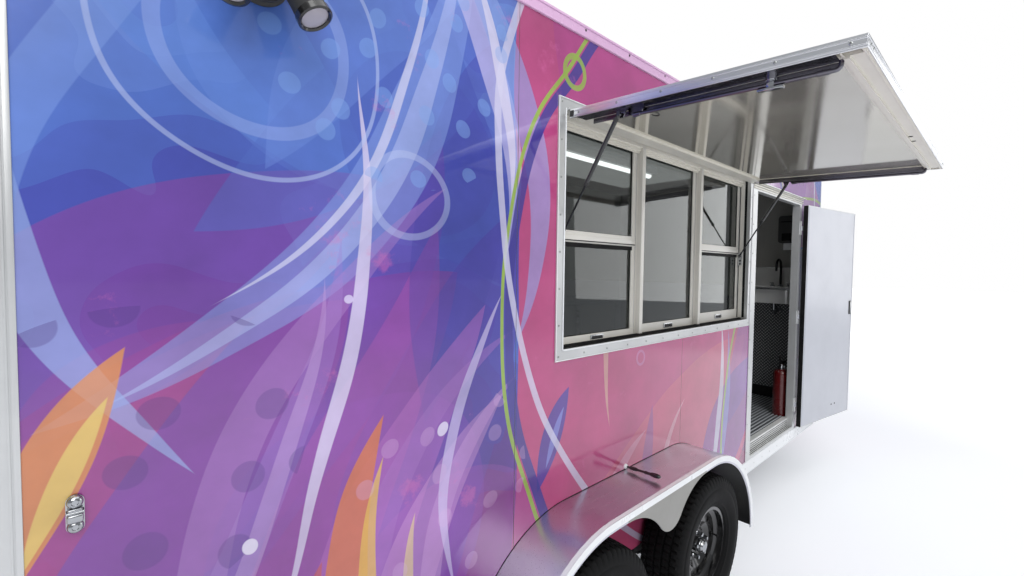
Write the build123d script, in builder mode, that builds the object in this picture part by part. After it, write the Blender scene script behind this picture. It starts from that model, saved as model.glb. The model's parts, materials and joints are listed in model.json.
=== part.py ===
"""Food trailer on two axles: a box body with a serving window, an awning and a side door.

The frame of the part: +X forward, -Y to the serving side, +Z up, in millimetres.
The origin is under the middle of the tongue jack's foot, on the ground.
"""

import os
from math import asin, cos, degrees, hypot, radians, sin, sqrt, tan

from build123d import *

os.makedirs("parts", exist_ok=True)

# Clearances
seat_gap = 0.3          # a piece on the seat that carries it
panel_gap = 2           # between neighbouring wall panels
swing_gap = 5           # around a moving leaf
pin_gap = 0.5           # between the knuckles and rods of one hinge or slide
cut_over = 1            # how far a cut, or a joined block, reaches past a face

# Box body
body_length = 5000
body_width = 2134
wall_thickness = 38
wall_height = 2290      # from the wall's lower edge to the roof
first_panel = 1193      # the rearmost side panel, ahead of the rear post
panel_pitch = 1219
floor_thickness = 19
roof_thickness = 32
roof_crown = 26
front_post = 38
front_post_radius = 32
rear_post_depth = 40
rear_post_width = 60
rear_header_height = 62
rear_sill_lift = 20     # rear sill above the wall's lower edge
top_rail_drop = 12
top_rail_sheet = 5
top_rail_lip = 30
top_rail_fold = 2
bottom_rail_height = 88
bottom_rail_sheet = 5

# Wheels and axles
tyre_diameter = 719
tyre_width = 208
rim_diameter = 381
rim_width = 152
axle_spacing = 914
axle_centre_from_rear = 1935
wheel_wall_gap = 10     # tyre to the wall beside it
axle_drop = 102
axle_tube_diameter = 60
spindle_diameter = 44
spindle_past = 18       # spindle's end past the wheel's centre plane
axle_bracket = 22
axle_bracket_half = 32
axle_bracket_inset = 8
body_lift = 12.5        # wall's lower edge above the wheel centres
spring_length = 660
spring_width = 44
spring_leaf = 8
spring_leaves = 4
spring_camber = 42
spring_taper = 0.2      # each leaf shorter than the one above it, as a share
spring_eye_radius = 17
spring_pin_radius = 8
hanger_cheek = 6
hanger_half = 24
hanger_drop = 22
link_half = 18
link_high = 20
link_post_half = 26
spring_room = 60        # wheel well's end past the spring
bead_inset = 8          # tyre's bead inside the rim's flange
heel_out = 4
heel_rise = 14
bulge_rise = 78         # widest place of the sidewall above the rim
shoulder_in = 14
shoulder_down = 22
corner_in = 19
corner_down = 10
crown_in = 30
crown_down = 5
rim_sheet = 5
rim_lip = 4
rim_lip_high = 10
rim_seat_inner = 34
rim_seat_outer = 28
rim_seat_step = 2
rim_well_slope = 12
rim_well_depth = 20
disc_face = 14          # wheel's centre plane to the disc's outer face
disc_sheet = 6
disc_flat = 84
disc_flat_step = 4
disc_crest = 112
disc_crest_out = 32
disc_crest_step = 2
disc_edge_out = 28
disc_edge_in = 22       # disc's outer edge inside the rim's radius
disc_hole = 34
vent_hole_count = 8
vent_hole_ring = 136
vent_hole_radius = 15
vent_hole_deep = 40
drum_radius = 128
drum_long = 62
hub_radius = 36
hub_long = 24
cap_radius = 34
cap_long = 22
cap_taper = 8

# Chassis
rail_height = 102
rail_width = 51
rail_lift = 50          # underside of the chassis rails above the wall's lower edge
cross_spacing = 610
cross_height = 76
cross_width = 38
tongue_length = 1370    # front wall to the centre of the coupler's ball
jack_setback = 300      # coupler's ball to the jack
tongue_half_angle = 25
tongue_apex_half = 30
tongue_run_under = 620  # how far the tongue rails go on under the body

# Tongue jack
jack_tube_diameter = 64
jack_leg_diameter = 54
jack_tube_low = 330
jack_tube_high = 815
jack_leg_high = 440
jack_leg_wall = 5
jack_foot_size = 130
jack_foot_corner = 14
jack_foot_thickness = 8
jack_cap = 10
jack_cap_lip = 3
jack_flange_lip = 24
jack_flange = 10
jack_shaft_radius = 8
crank_lift = 28         # crank above the tube's cap
crank_radius = 7
crank_reach = 150
crank_grip_radius = 13
crank_grip_low = 45
crank_grip_high = 122

# Coupler
ball_diameter = 58.7
ball_height = 452
ball_play = 1
coupler_wall = 7
coupler_top = 30        # above the ball's centre
coupler_overlap = 12    # channel over the ends of the tongue rails
coupler_skirt = 22      # socket's rim below the ball's centre
latch_setback = 62
latch_lift = 34
latch_radius = 11
latch_width = 28
lever_width = 16
lever_low = 28
lever_high = 48
lever_front = 12
tongue_plate = 8
tongue_plate_front = 15 # apex to the plate's front edge
tongue_plate_back = 95  # jack to the plate's back edge
tongue_apex_setback = 150
brace_ahead = 210       # front wall to the tongue's brace
brace_inset = 12

# Fenders
fender_width = 232
fender_sheet = 3
fender_crown = 460      # top above the wall's lower edge
fender_flat = 840
fender_radius = 520
fender_lip = 34
scallop_depth = 186
scallop_tip_radius = 110
scallop_arch_radius = 320

# Serving window
window_width = 1838
window_height = 914
window_centre_from_rear = 2398.5
window_centre_height = 1519.5
window_flange = 44
window_flange_thickness = 4
window_sleeve = 6
window_depth = 94
sash_depth = 30
sash_face = 30
sash_front = 3
sash_thickness = 18
meeting_share = 0.48    # outer bays' meeting rail, as a share of the window's height
mullion_width = 38
glass_thickness = 5

# Awning
awning_thickness = 28
awning_sag = 2.5        # degrees below level when open
awning_hinge_out = 10
awning_hinge_up = 3.5
awning_skin_back = 2    # closed sheet behind the hinge's level
awning_border = 64      # frame around the recessed liner
awning_recess = 12
groove_depth = 23       # groove of each side extrusion, above the frame's underside
groove_lip = 3
groove_end = 12
ridge_inset = 40        # outer edge to the ridge that runs along it
ridge_width = 13
ridge_drop = 6
hinge_radius = 5
hinge_leaf = 3
hinge_lap = 10          # hinge leaf on the panel's back edge
hinge_parts = 5
side_rod_diameter = 12
side_rod_drop = 22
side_rod_inset = 52
side_rod_near = 262
side_rod_far = 852
side_rod_bend = 12
rod_plate = 6
rod_plate_long = 34
rod_plate_low = 9

# Gas struts
strut_tube_diameter = 16
strut_rod_diameter = 8
strut_inset = 22        # from the window's side
strut_low_depth = 46
strut_low_drop = 501.5  # lower pin below the opening's upper edge
strut_eye_reach = 215
strut_eye_diameter = 16
strut_eye_width = 10
strut_pin = 8
strut_tube_length = 267
strut_tube_start = 6
strut_bore_start = 13
strut_rod_seat = 14     # rod left in its tube when the awning is open
stud_plate = 5
stud_plate_long = 22
stud_plate_low = 10
pin_bracket = 7
pin_bracket_half = 12
pin_bracket_low = 60
pin_bracket_high = 25

# Side door
door_width = 902
door_height = 1798
door_thickness = 32
door_window_gap = 11.5  # between the flanges of the window and the door
door_hinge_gap = 8      # leaf's edge to the opening, on the hinge side
door_hinge_ahead = 10   # opening's edge to the hinge pin
door_hinge_out = 12
door_low = 112
door_open_angle = 171
door_frame_left = 77
door_frame_right = 50
door_frame_head = 68
door_frame_sill = 18
door_frame_depth = 52
door_sleeve = 6
door_corner = 3
door_skin_back = 2      # leaf's outer face behind the wall's plane, toward the hinge
latch_height = 950      # above the leaf's lower edge
latch_edge = 18
latch_plate_wide = 66
latch_plate_half = 75
latch_plate = 8
handle_edge = 30
handle_foot_wide = 42
handle_foot_low = 50
handle_foot_high = 30
handle_out = 34
grip_edge = 40
grip_wide = 22
grip_out = 42
grip_sheet = 10
grip_half = 50
strike_edge = 14
strike_wide = 48
strike_half = 60
strike_plate = 4
drip_reach = 26
drip_side = 12
drip_lift = 20
drip_edge = 4
knuckle = 36
knuckle_radius = 6
knuckle_leaf = 4
knuckle_lap = 34

# Rear doors
rear_hinge_out = 10
rear_hinge_side = 6
rear_knuckle = 76
rear_knuckle_radius = 7
rear_hinge_sheet = 5
rear_post_lap = 34      # fixed hinge leaf on the post
rear_foot = 5
rear_strap_reach = 120  # moving hinge leaf on the door, from the opening's side
rear_strap_foot = 6
rear_strap_end = 8
rear_skin_back = 1      # leaves behind the body's rear plane
leaf_gap = 10
lock_bar_diameter = 27
lock_bar_out = 26
lock_bar_side = 70
lock_bar_below = 60
lock_bar_above = 40
lock_clip_out = 18
lock_clip_half = 24
lock_clip_tall = 50
lock_handle_high = 780
lock_handle_reach = 330
lock_handle_back = 20
lock_handle_sheet = 8
lock_handle_tall = 30

# Lights and fittings on the walls
spot_from_rear = 425
spot_height = 2015      # above the wall's lower edge
spot_base_radius = 58
spot_base = 26
spot_neck_radius = 10
spot_neck_start = 22
spot_neck_sink = 6
spot_neck_side = 38
spot_neck_out = 32
spot_neck_drop = 6
spot_head_radius = 35
spot_back_side = 30
spot_back_out = 44
spot_back_lift = 22
spot_tip_side = 80
spot_tip_out = 96
spot_tip_drop = 105
catch_from_rear = 108
catch_height = 908
catch_plate = 5
catch_plate_half = 13
catch_plate_tall = 37
catch_out = 22
catch_half = 9
catch_tall = 16
peg_height = 474
peg_reach = 172
peg_radius = 6
peg_ball = 10
peg_rise = 8
peg_base = 8
peg_base_radius = 17
lamp_out = 14
lamp_height = 95
lamp_tall = 24
lamp_wide = 64
tail_lamp_wide = 166
tail_lamp_tall = 60
tail_lamp_inset = 140
side_lamp_inset = 60
front_lamp_inset = 110
lamp_spacing = 160

# Inside
sink_width = 460
sink_deep = 400
sink_height = 1070      # rim above the floor
sink_side_gap = 22
sink_rim = 18
sink_bowl_inset = 46
sink_bowl_depth = 128
sink_shell = 6
sink_corner = 60
sink_taper = 10
splash_high = 176
splash_sheet = 12
tap_radius = 9
tap_rise = 250
tap_bend = 62
tap_drop = 44
tap_setback = 34
dispenser_side_gap = 62 # wall of the serving side to the dispenser
dispenser_width = 200
dispenser_high = 250
dispenser_deep = 112
dispenser_height = 1470 # above the floor
dispenser_corner = 28
counter_from_rear = 2960
counter_length = 1219
counter_deep = 600
counter_height = 920
counter_top = 38
counter_leg = 38
counter_leg_inset = 30
counter_shelf_height = 260
counter_shelf = 20
bottle_share = 0.125    # place between the doorway and the front wall
bottle_radius = 60
bottle_wall_gap = 14
bottle_shoulder = 46
bottle_high = 390
bottle_neck_radius = 16
bottle_head_high = 430
bottle_lever = 17
bottle_lever_reach = 84
ceiling_lamp_from_rear = 1200
ceiling_lamp_length = 2700
ceiling_lamp_width = 120
ceiling_lamp_deep = 62

# Roof vent
vent_from_rear = 1700
vent_half = 178
vent_flange = 30
vent_flange_corner = 20
vent_flange_high = 14
vent_corner = 30
vent_high = 70
vent_taper = 9
vent_sink = 8           # flange's foot below the roof's crest

# Worked-out places
axle_height = tyre_diameter / 2
wall_low = axle_height + body_lift
wall_high = wall_low + wall_height
half_width = body_width / 2
inner_half = half_width - wall_thickness
front_x = -(tongue_length - jack_setback)
rear_x = front_x - body_length
rail_low = wall_low + rail_lift
rail_high = rail_low + rail_height
floor_high = rail_high + floor_thickness
axle_mid = rear_x + axle_centre_from_rear
axle_places = {"front": axle_mid + axle_spacing / 2, "rear": axle_mid - axle_spacing / 2}
wheel_centre_y = half_width + wheel_wall_gap + tyre_width / 2
tyre_radius = tyre_diameter / 2
rim_radius = rim_diameter / 2
tube_height = axle_height - axle_drop
rail_centre = inner_half - rail_width / 2
fender_half = fender_flat / 2 + fender_radius
fender_top = wall_low + fender_crown
notch_half = axle_spacing / 2 + spring_length / 2 + spring_room
window_x = rear_x + window_centre_from_rear
window_z = wall_low + window_centre_height
window_left = window_x - window_width / 2
window_right = window_x + window_width / 2
window_top = window_z + window_height / 2
window_base = window_z - window_height / 2
hinge_y = -half_width - awning_hinge_out
hinge_z = window_top + awning_hinge_up
pin_y = -half_width + strut_low_depth
pin_z = window_top - strut_low_drop
door_left = window_right + window_flange + door_window_gap + door_frame_left
door_edge_left = door_left + swing_gap
door_edge_right = door_edge_left + door_width
door_right = door_edge_right + door_hinge_gap
door_hinge_x = door_right + door_hinge_ahead
door_hinge_y = -half_width - door_hinge_out
door_base = wall_low + door_low
door_top = door_base + door_height


def write(piece, label):
    """Label a finished piece and write it as one STEP file.

    Args:
        piece: the finished BuildPart.
        label: the node's name, also the file's name.
    """
    piece.part.label = label
    export_step(piece.part, f"parts/{label}.step")


def block(low, high, mode=Mode.ADD):
    """Add a box given by two opposite corners to the part that is being built.

    Args:
        low: the corner with the smallest coordinates.
        high: the corner with the largest coordinates.
        mode: how the box joins the part.
    """
    centre = [(a + b) / 2 for a, b in zip(low, high)]
    with Locations(tuple(centre)):
        Box(*(b - a for a, b in zip(low, high)), mode=mode)


def rod(start, end, radius, mode=Mode.ADD):
    """Add a round bar between two points to the part that is being built.

    Args:
        start: the middle of the first end.
        end: the middle of the other end.
        radius: the bar's radius.
        mode: how the bar joins the part.
    """
    axis = Vector(*end) - Vector(*start)
    middle = (Vector(*end) + Vector(*start)) / 2
    with Locations(Plane(origin=middle, z_dir=axis).location):
        Cylinder(radius, axis.length, mode=mode)


# Chassis: two long rails with cross members between them
frame_back = rear_x + rear_post_depth
frame_front = front_x - wall_thickness
with BuildPart() as main_frame:
    for side in (-1, 1):
        with Locations((0, side * rail_centre, 0)):
            block(
                (frame_back, -rail_width / 2, rail_low),
                (frame_front, rail_width / 2, rail_high),
            )
    cross_count = int((frame_front - frame_back) // cross_spacing)
    cross_step = (frame_front - frame_back - cross_width) / cross_count
    for number in range(cross_count + 1):
        start_x = frame_back + number * cross_step
        block(
            (start_x, -rail_centre, rail_high - cross_height),
            (start_x + cross_width, rail_centre, rail_high),
        )
write(main_frame, "main_frame")

# Tongue: two rails from under the body to the coupler, with a jack plate between them
apex_x = jack_setback - tongue_apex_setback
tongue_high = rail_low
tongue_low = tongue_high - rail_height
tongue_end_x = front_x - tongue_run_under


def tongue_half(x):
    """Return how far the middle of a tongue rail is from the centre line at x."""
    return tongue_apex_half + (apex_x - x) * tan(radians(tongue_half_angle))


with BuildPart() as tongue_frame:
    half = rail_width / 2 / cos(radians(tongue_half_angle))
    for side in (-1, 1):
        with BuildSketch(Plane.XY.offset(tongue_low)):
            with BuildLine():
                Polyline(
                    (apex_x, side * (tongue_half(apex_x) - half)),
                    (apex_x, side * (tongue_half(apex_x) + half)),
                    (tongue_end_x, side * (tongue_half(tongue_end_x) + half)),
                    (tongue_end_x, side * (tongue_half(tongue_end_x) - half)),
                    close=True,
                )
            make_face()
        extrude(amount=rail_height)
    plate_back = -tongue_plate_back
    plate_front = apex_x - tongue_plate_front
    with BuildSketch(Plane.XY.offset(tongue_high)):
        with BuildLine():
            Polyline(
                (plate_front, -tongue_half(plate_front)),
                (plate_front, tongue_half(plate_front)),
                (plate_back, tongue_half(plate_back)),
                (plate_back, -tongue_half(plate_back)),
                close=True,
            )
        make_face()
        Circle(jack_tube_diameter / 2 + seat_gap, mode=Mode.SUBTRACT)
    extrude(amount=tongue_plate)
    brace_x = front_x + brace_ahead
    block(
        (brace_x, -tongue_half(brace_x), tongue_low + brace_inset),
        (brace_x + rail_width, tongue_half(brace_x), tongue_high - brace_inset),
    )
write(tongue_frame, "tongue_frame")

# Coupler: a ball socket on a channel that lies over the tongue's apex
ball_x = jack_setback
socket_radius = ball_diameter / 2 + ball_play
socket_out = socket_radius + coupler_wall
channel_back = apex_x - coupler_overlap
channel_half = tongue_half(apex_x) + half
with BuildPart() as coupler:
    with BuildSketch(Plane.XY.offset(tongue_high)):
        with BuildLine():
            Polyline(
                (ball_x, -socket_radius),
                (ball_x, socket_radius),
                (channel_back, channel_half),
                (channel_back, -channel_half),
                close=True,
            )
        make_face()
    extrude(amount=ball_height + coupler_top - tongue_high)
    with Locations((ball_x, 0, ball_height)):
        Sphere(socket_out)
    with BuildSketch(Plane.XY.offset(ball_height - coupler_skirt)):
        with Locations((ball_x, 0)):
            Circle(socket_out)
    extrude(amount=coupler_skirt)
    with Locations((ball_x, 0, ball_height)):
        Sphere(socket_radius, mode=Mode.SUBTRACT)
    with BuildSketch(Plane.XY.offset(ball_height - ball_diameter)):
        with Locations((ball_x, 0)):
            Circle(socket_radius)
    extrude(amount=ball_diameter, mode=Mode.SUBTRACT)
    latch_x = ball_x - latch_setback
    latch_z = ball_height + latch_lift
    rod((latch_x, -latch_width / 2, latch_z), (latch_x, latch_width / 2, latch_z), latch_radius)
    block(
        (latch_x - latch_radius, -lever_width / 2, ball_height + lever_low),
        (ball_x + lever_front, lever_width / 2, ball_height + lever_high),
    )
write(coupler, "coupler")

# Tongue jack: an outer tube through the plate, with its crank, and a sliding leg with a foot
with BuildPart() as jack_tube:
    with BuildSketch(Plane.XY.offset(jack_tube_low)):
        Circle(jack_tube_diameter / 2)
        Circle(jack_leg_diameter / 2 + pin_gap, mode=Mode.SUBTRACT)
    extrude(amount=jack_tube_high - jack_tube_low - jack_cap)
    with BuildSketch(Plane.XY.offset(jack_tube_high - jack_cap)):
        Circle(jack_tube_diameter / 2 + jack_cap_lip)
    extrude(amount=jack_cap)
    with BuildSketch(Plane.XY.offset(tongue_high + tongue_plate)):
        Circle(jack_tube_diameter / 2 + jack_flange_lip)
        Circle(jack_leg_diameter / 2 + pin_gap, mode=Mode.SUBTRACT)
    extrude(amount=jack_flange)
    crank_z = jack_tube_high + crank_lift
    rod((0, 0, jack_tube_high - cut_over), (0, 0, crank_z + crank_radius), jack_shaft_radius)
    rod((0, 0, crank_z), (-crank_reach, 0, crank_z), crank_radius)
    rod(
        (-crank_reach, 0, crank_z - crank_radius),
        (-crank_reach, 0, jack_tube_high + crank_grip_high),
        crank_radius,
    )
    rod(
        (-crank_reach, 0, jack_tube_high + crank_grip_low),
        (-crank_reach, 0, jack_tube_high + crank_grip_high),
        crank_grip_radius,
    )
write(jack_tube, "jack_tube")

with BuildPart() as jack_leg:
    with BuildSketch():
        RectangleRounded(jack_foot_size, jack_foot_size, jack_foot_corner)
    extrude(amount=jack_foot_thickness)
    with BuildSketch(Plane.XY.offset(jack_foot_thickness)):
        Circle(jack_leg_diameter / 2)
        Circle(jack_leg_diameter / 2 - jack_leg_wall, mode=Mode.SUBTRACT)
    extrude(amount=jack_leg_high - jack_foot_thickness)
write(jack_leg, "jack_leg")

# Axles: straight tubes whose end brackets lift the spindles to the wheel centres
bracket_out = half_width - axle_bracket_inset
with BuildPart() as axle_beams:
    for place in axle_places.values():
        rod(
            (place, -bracket_out, tube_height),
            (place, bracket_out, tube_height),
            axle_tube_diameter / 2,
        )
        for side in (-1, 1):
            outer_y = side * bracket_out
            inner_y = side * (bracket_out - axle_bracket)
            block(
                (place - axle_bracket_half, min(outer_y, inner_y), tube_height),
                (place + axle_bracket_half, max(outer_y, inner_y), axle_height),
            )
            rod((place, inner_y, axle_height), (place, outer_y, axle_height), axle_bracket_half)
            rod(
                (place, outer_y, axle_height),
                (place, side * (wheel_centre_y + spindle_past), axle_height),
                spindle_diameter / 2,
            )
write(axle_beams, "axle_beams")

# Springs: stacks of bowed leaves that sit on the axle tubes
seat_z = tube_height + axle_tube_diameter / 2
stack = spring_leaf * spring_leaves
eye_z = seat_z + stack - spring_leaf / 2 + spring_camber
with BuildPart() as leaf_springs:
    for place in axle_places.values():
        for side in (-1, 1):
            near = side * rail_centre - spring_width / 2
            for leaf in range(spring_leaves):
                part_length = 1 - spring_taper * leaf
                reach = spring_length / 2 * part_length
                low_z = seat_z + stack - spring_leaf * (leaf + 1)
                rise = spring_camber * part_length**2
                with BuildSketch(Plane.XZ.offset(-near - spring_width)):
                    with BuildLine():
                        ThreePointArc(
                            (place - reach, low_z + rise),
                            (place, low_z),
                            (place + reach, low_z + rise),
                        )
                        Line((place + reach, low_z + rise), (place + reach, low_z + rise + spring_leaf))
                        ThreePointArc(
                            (place + reach, low_z + rise + spring_leaf),
                            (place, low_z + spring_leaf),
                            (place - reach, low_z + rise + spring_leaf),
                        )
                        Line((place - reach, low_z + rise + spring_leaf), (place - reach, low_z + rise))
                    make_face()
                extrude(amount=spring_width)
            for end in (-1, 1):
                eye_x = place + end * spring_length / 2
                eye_near = (eye_x, near, eye_z)
                eye_far = (eye_x, near + spring_width, eye_z)
                rod(eye_near, eye_far, spring_eye_radius)
                rod(eye_near, eye_far, spring_pin_radius, mode=Mode.SUBTRACT)
write(leaf_springs, "leaf_springs")

# Hangers, shackle pins and the equaliser between the two springs of a side
pin_radius = spring_pin_radius - seat_gap
inner_eye = (axle_spacing - spring_length) / 2
with BuildPart() as spring_hangers:
    for side in (-1, 1):
        near = side * rail_centre - spring_width / 2
        far = near + spring_width
        pin_near = near - hanger_cheek
        pin_far = far + hanger_cheek
        outer_eyes = (
            axle_places["front"] + spring_length / 2,
            axle_places["rear"] - spring_length / 2,
        )
        for eye_x in outer_eyes:
            for low_y in (near - hanger_cheek - seat_gap, far + seat_gap):
                block(
                    (eye_x - hanger_half, low_y, eye_z - hanger_drop),
                    (eye_x + hanger_half, low_y + hanger_cheek, rail_low),
                )
            rod((eye_x, pin_near, eye_z), (eye_x, pin_far, eye_z), pin_radius)
        for low_y in (near - hanger_cheek - seat_gap, far + seat_gap):
            block(
                (axle_mid - link_post_half, low_y, eye_z + link_half),
                (axle_mid + link_post_half, low_y + hanger_cheek, rail_low),
            )
            block(
                (axle_mid - inner_eye - link_half, low_y, eye_z - link_half),
                (axle_mid + inner_eye + link_half, low_y + hanger_cheek, eye_z + link_high),
            )
        for end in (-1, 1):
            eye_x = axle_mid + end * inner_eye
            rod((eye_x, pin_near, eye_z), (eye_x, pin_far, eye_z), pin_radius)
write(spring_hangers, "spring_hangers")

# Wheels: tyre, and a black pressed wheel with its hub and drum, on each spindle
half_tyre = tyre_width / 2
bead = (rim_width / 2 - bead_inset, rim_radius + seat_gap)
heel = (bead[0] + heel_out, rim_radius + heel_rise)
bulge = (half_tyre, rim_radius + bulge_rise)
shoulder = (half_tyre - shoulder_in, tyre_radius - shoulder_down)
corner = (half_tyre - corner_in, tyre_radius - corner_down)
crown = (half_tyre - crown_in, tyre_radius - crown_down)
rim_half = rim_width / 2
rim_top = rim_radius + rim_lip_high
rim_under = rim_radius - rim_sheet
well_top = rim_radius - rim_well_depth
well_under = well_top - rim_sheet
inner_well = -rim_half + rim_seat_inner + rim_well_slope
outer_well = rim_half - rim_seat_outer - rim_well_slope
disc_edge = rim_radius - disc_edge_in
disc_back = disc_face - disc_sheet
bore_radius = spindle_diameter / 2 + pin_gap


def flip(point):
    """Return a point of a section mirrored across its centre line."""
    return (-point[0], point[1])


for axle_name, place in axle_places.items():
    for side_name, side in (("curb", -1), ("street", 1)):
        wheel_plane = Plane(
            origin=(place, side * wheel_centre_y, axle_height),
            x_dir=(1, 0, 0),
            z_dir=(0, side, 0),
        )
        section = Plane(
            origin=wheel_plane.origin,
            x_dir=(0, side, 0),
            z_dir=(side, 0, 0),
        )
        with BuildPart() as tyre:
            with BuildSketch(section):
                with BuildLine():
                    Line(flip(bead), bead)
                    Line(bead, heel)
                    ThreePointArc(heel, bulge, shoulder)
                    ThreePointArc(shoulder, corner, crown)
                    ThreePointArc(crown, (0, tyre_radius), flip(crown))
                    ThreePointArc(flip(crown), flip(corner), flip(shoulder))
                    ThreePointArc(flip(shoulder), flip(bulge), flip(heel))
                    Line(flip(heel), flip(bead))
                make_face()
            revolve(axis=Axis(wheel_plane.origin, (0, 1, 0)))
        write(tyre, f"tyre_{side_name}_{axle_name}")

        with BuildPart() as wheel:
            with BuildSketch(section):
                with BuildLine():
                    Polyline(
                        (-rim_half, rim_under),
                        (-rim_half, rim_top),
                        (-rim_half + rim_lip, rim_top),
                        (-rim_half + rim_lip, rim_radius),
                        (inner_well - rim_well_slope, rim_radius),
                        (inner_well, well_top),
                        (outer_well, well_top),
                        (outer_well + rim_well_slope, rim_radius),
                        (rim_half - rim_lip, rim_radius),
                        (rim_half - rim_lip, rim_top),
                        (rim_half, rim_top),
                        (rim_half, rim_under),
                        (outer_well + rim_well_slope - rim_seat_step, rim_under),
                        (outer_well - rim_seat_step, well_under),
                        (inner_well + rim_seat_step, well_under),
                        (inner_well - rim_well_slope + rim_seat_step, rim_under),
                        close=True,
                    )
                make_face()
            revolve(axis=Axis(wheel_plane.origin, (0, 1, 0)))
            with BuildSketch(section):
                with BuildLine():
                    Polyline(
                        (disc_face, disc_hole),
                        (disc_face, disc_flat),
                        (disc_crest_out, disc_crest),
                        (disc_edge_out, disc_edge),
                        (disc_edge_out - disc_sheet, disc_edge),
                        (disc_crest_out - disc_sheet, disc_crest + disc_crest_step),
                        (disc_back, disc_flat + disc_flat_step),
                        (disc_back, disc_hole),
                        close=True,
                    )
                make_face()
            revolve(axis=Axis(wheel_plane.origin, (0, 1, 0)))
            with BuildSketch(wheel_plane.offset(disc_back + cut_over)):
                with PolarLocations(vent_hole_ring, vent_hole_count):
                    Circle(vent_hole_radius)
            extrude(amount=vent_hole_deep, mode=Mode.SUBTRACT)
            with BuildSketch(wheel_plane.offset(disc_back - drum_long)):
                Circle(drum_radius)
                Circle(bore_radius, mode=Mode.SUBTRACT)
            extrude(amount=drum_long)
            with BuildSketch(wheel_plane.offset(disc_back)):
                Circle(hub_radius)
                Circle(bore_radius, mode=Mode.SUBTRACT)
            extrude(amount=hub_long)
            with BuildSketch(wheel_plane.offset(disc_back + hub_long)):
                Circle(cap_radius)
            extrude(amount=cap_long, taper=cap_taper)
        write(wheel, f"wheel_{side_name}_{axle_name}")

# Floor
with BuildPart() as floor_deck:
    block((frame_back, -inner_half, rail_high), (frame_front, inner_half, floor_high))
write(floor_deck, "floor_deck")


# Side walls
def side_panels():
    """Return the rear and front edge of each side panel, measured along X."""
    edges = [rear_x + rear_post_depth]
    edges.append(edges[0] + first_panel)
    last = front_x - front_post
    while edges[-1] + panel_pitch < last - panel_pitch / 2:
        edges.append(edges[-1] + panel_pitch)
    edges.append(last)
    return [(a + panel_gap / 2, b - panel_gap / 2) for a, b in zip(edges, edges[1:])]


window_out_x = window_width / 2 + window_sleeve + cut_over
window_out_z = window_height / 2 + window_sleeve + cut_over
door_out = door_sleeve + cut_over
for side_name, side in (("curb", -1), ("street", 1)):
    outer = side * half_width
    inner = side * inner_half
    low_y = min(outer, inner)
    high_y = max(outer, inner)
    with BuildPart() as wall:
        for back, ahead in side_panels():
            block((back, low_y, wall_low), (ahead, high_y, wall_high))
        block(
            (axle_mid - notch_half, low_y - cut_over, wall_low - cut_over),
            (axle_mid + notch_half, high_y + cut_over, rail_low),
            mode=Mode.SUBTRACT,
        )
        if side_name == "curb":
            block(
                (window_x - window_out_x, low_y - cut_over, window_z - window_out_z),
                (window_x + window_out_x, high_y + cut_over, window_z + window_out_z),
                mode=Mode.SUBTRACT,
            )
            block(
                (door_left - door_out, low_y - cut_over, door_base - swing_gap - door_out),
                (door_right + door_out, high_y + cut_over, door_top + swing_gap + door_out),
                mode=Mode.SUBTRACT,
            )
    write(wall, f"{side_name}_wall")

with BuildPart() as front_wall:
    half_front = half_width - front_post
    for back, ahead in ((-half_front, -panel_gap / 2), (panel_gap / 2, half_front)):
        block(
            (front_x - wall_thickness, back + panel_gap / 2, rail_low),
            (front_x, ahead - panel_gap / 2, wall_high),
        )
write(front_wall, "front_wall")

post_inner = half_width - rear_post_width
rear_open_high = wall_high - rear_header_height
rear_leaf_low = floor_high + swing_gap
rear_leaf_high = rear_open_high - swing_gap
rear_hinge_y = post_inner + rear_hinge_side - swing_gap
rear_hinge_x = rear_x - rear_hinge_out
rear_hinge_shares = (0.12, 0.37, 0.63, 0.88)
lock_clip_shares = (0.06, 0.35, 0.65, 0.94)
with BuildPart() as corner_posts:
    for side in (-1, 1):
        near_y = side * half_width
        low_y = min(near_y, side * (half_width - rear_post_width))
        high_y = max(near_y, side * (half_width - rear_post_width))
        block((rear_x, low_y, wall_low), (rear_x + rear_post_depth, high_y, wall_high))
        with BuildSketch(Plane.XY.offset(wall_low)) as post_section:
            with Locations((front_x - front_post / 2, side * (half_width - front_post / 2))):
                Rectangle(front_post, front_post)
            corner = post_section.vertices().sort_by_distance((front_x, side * half_width, wall_low))[0]
            fillet(corner, front_post_radius)
        extrude(amount=wall_high - wall_low)
        lap_y = side * (rear_hinge_y + rear_post_lap)
        foot_y = side * (rear_hinge_y + rear_post_lap - rear_foot)
        near_y = side * rear_hinge_y
        for share in rear_hinge_shares:
            knuckle_z = rear_leaf_low + (rear_leaf_high - rear_leaf_low) * share
            for step in (-1, 1):
                half_tall = rear_knuckle / 4
                middle = knuckle_z + step * (rear_knuckle / 2 + pin_gap + half_tall)
                rod(
                    (rear_hinge_x, near_y, middle - half_tall),
                    (rear_hinge_x, near_y, middle + half_tall),
                    rear_knuckle_radius,
                )
                block(
                    (rear_hinge_x - rear_hinge_sheet / 2, min(near_y, lap_y), middle - half_tall),
                    (rear_hinge_x + rear_hinge_sheet / 2, max(near_y, lap_y), middle + half_tall),
                )
                block(
                    (rear_hinge_x, min(foot_y, lap_y), middle - half_tall),
                    (rear_x + cut_over, max(foot_y, lap_y), middle + half_tall),
                )
write(corner_posts, "corner_posts")

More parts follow.
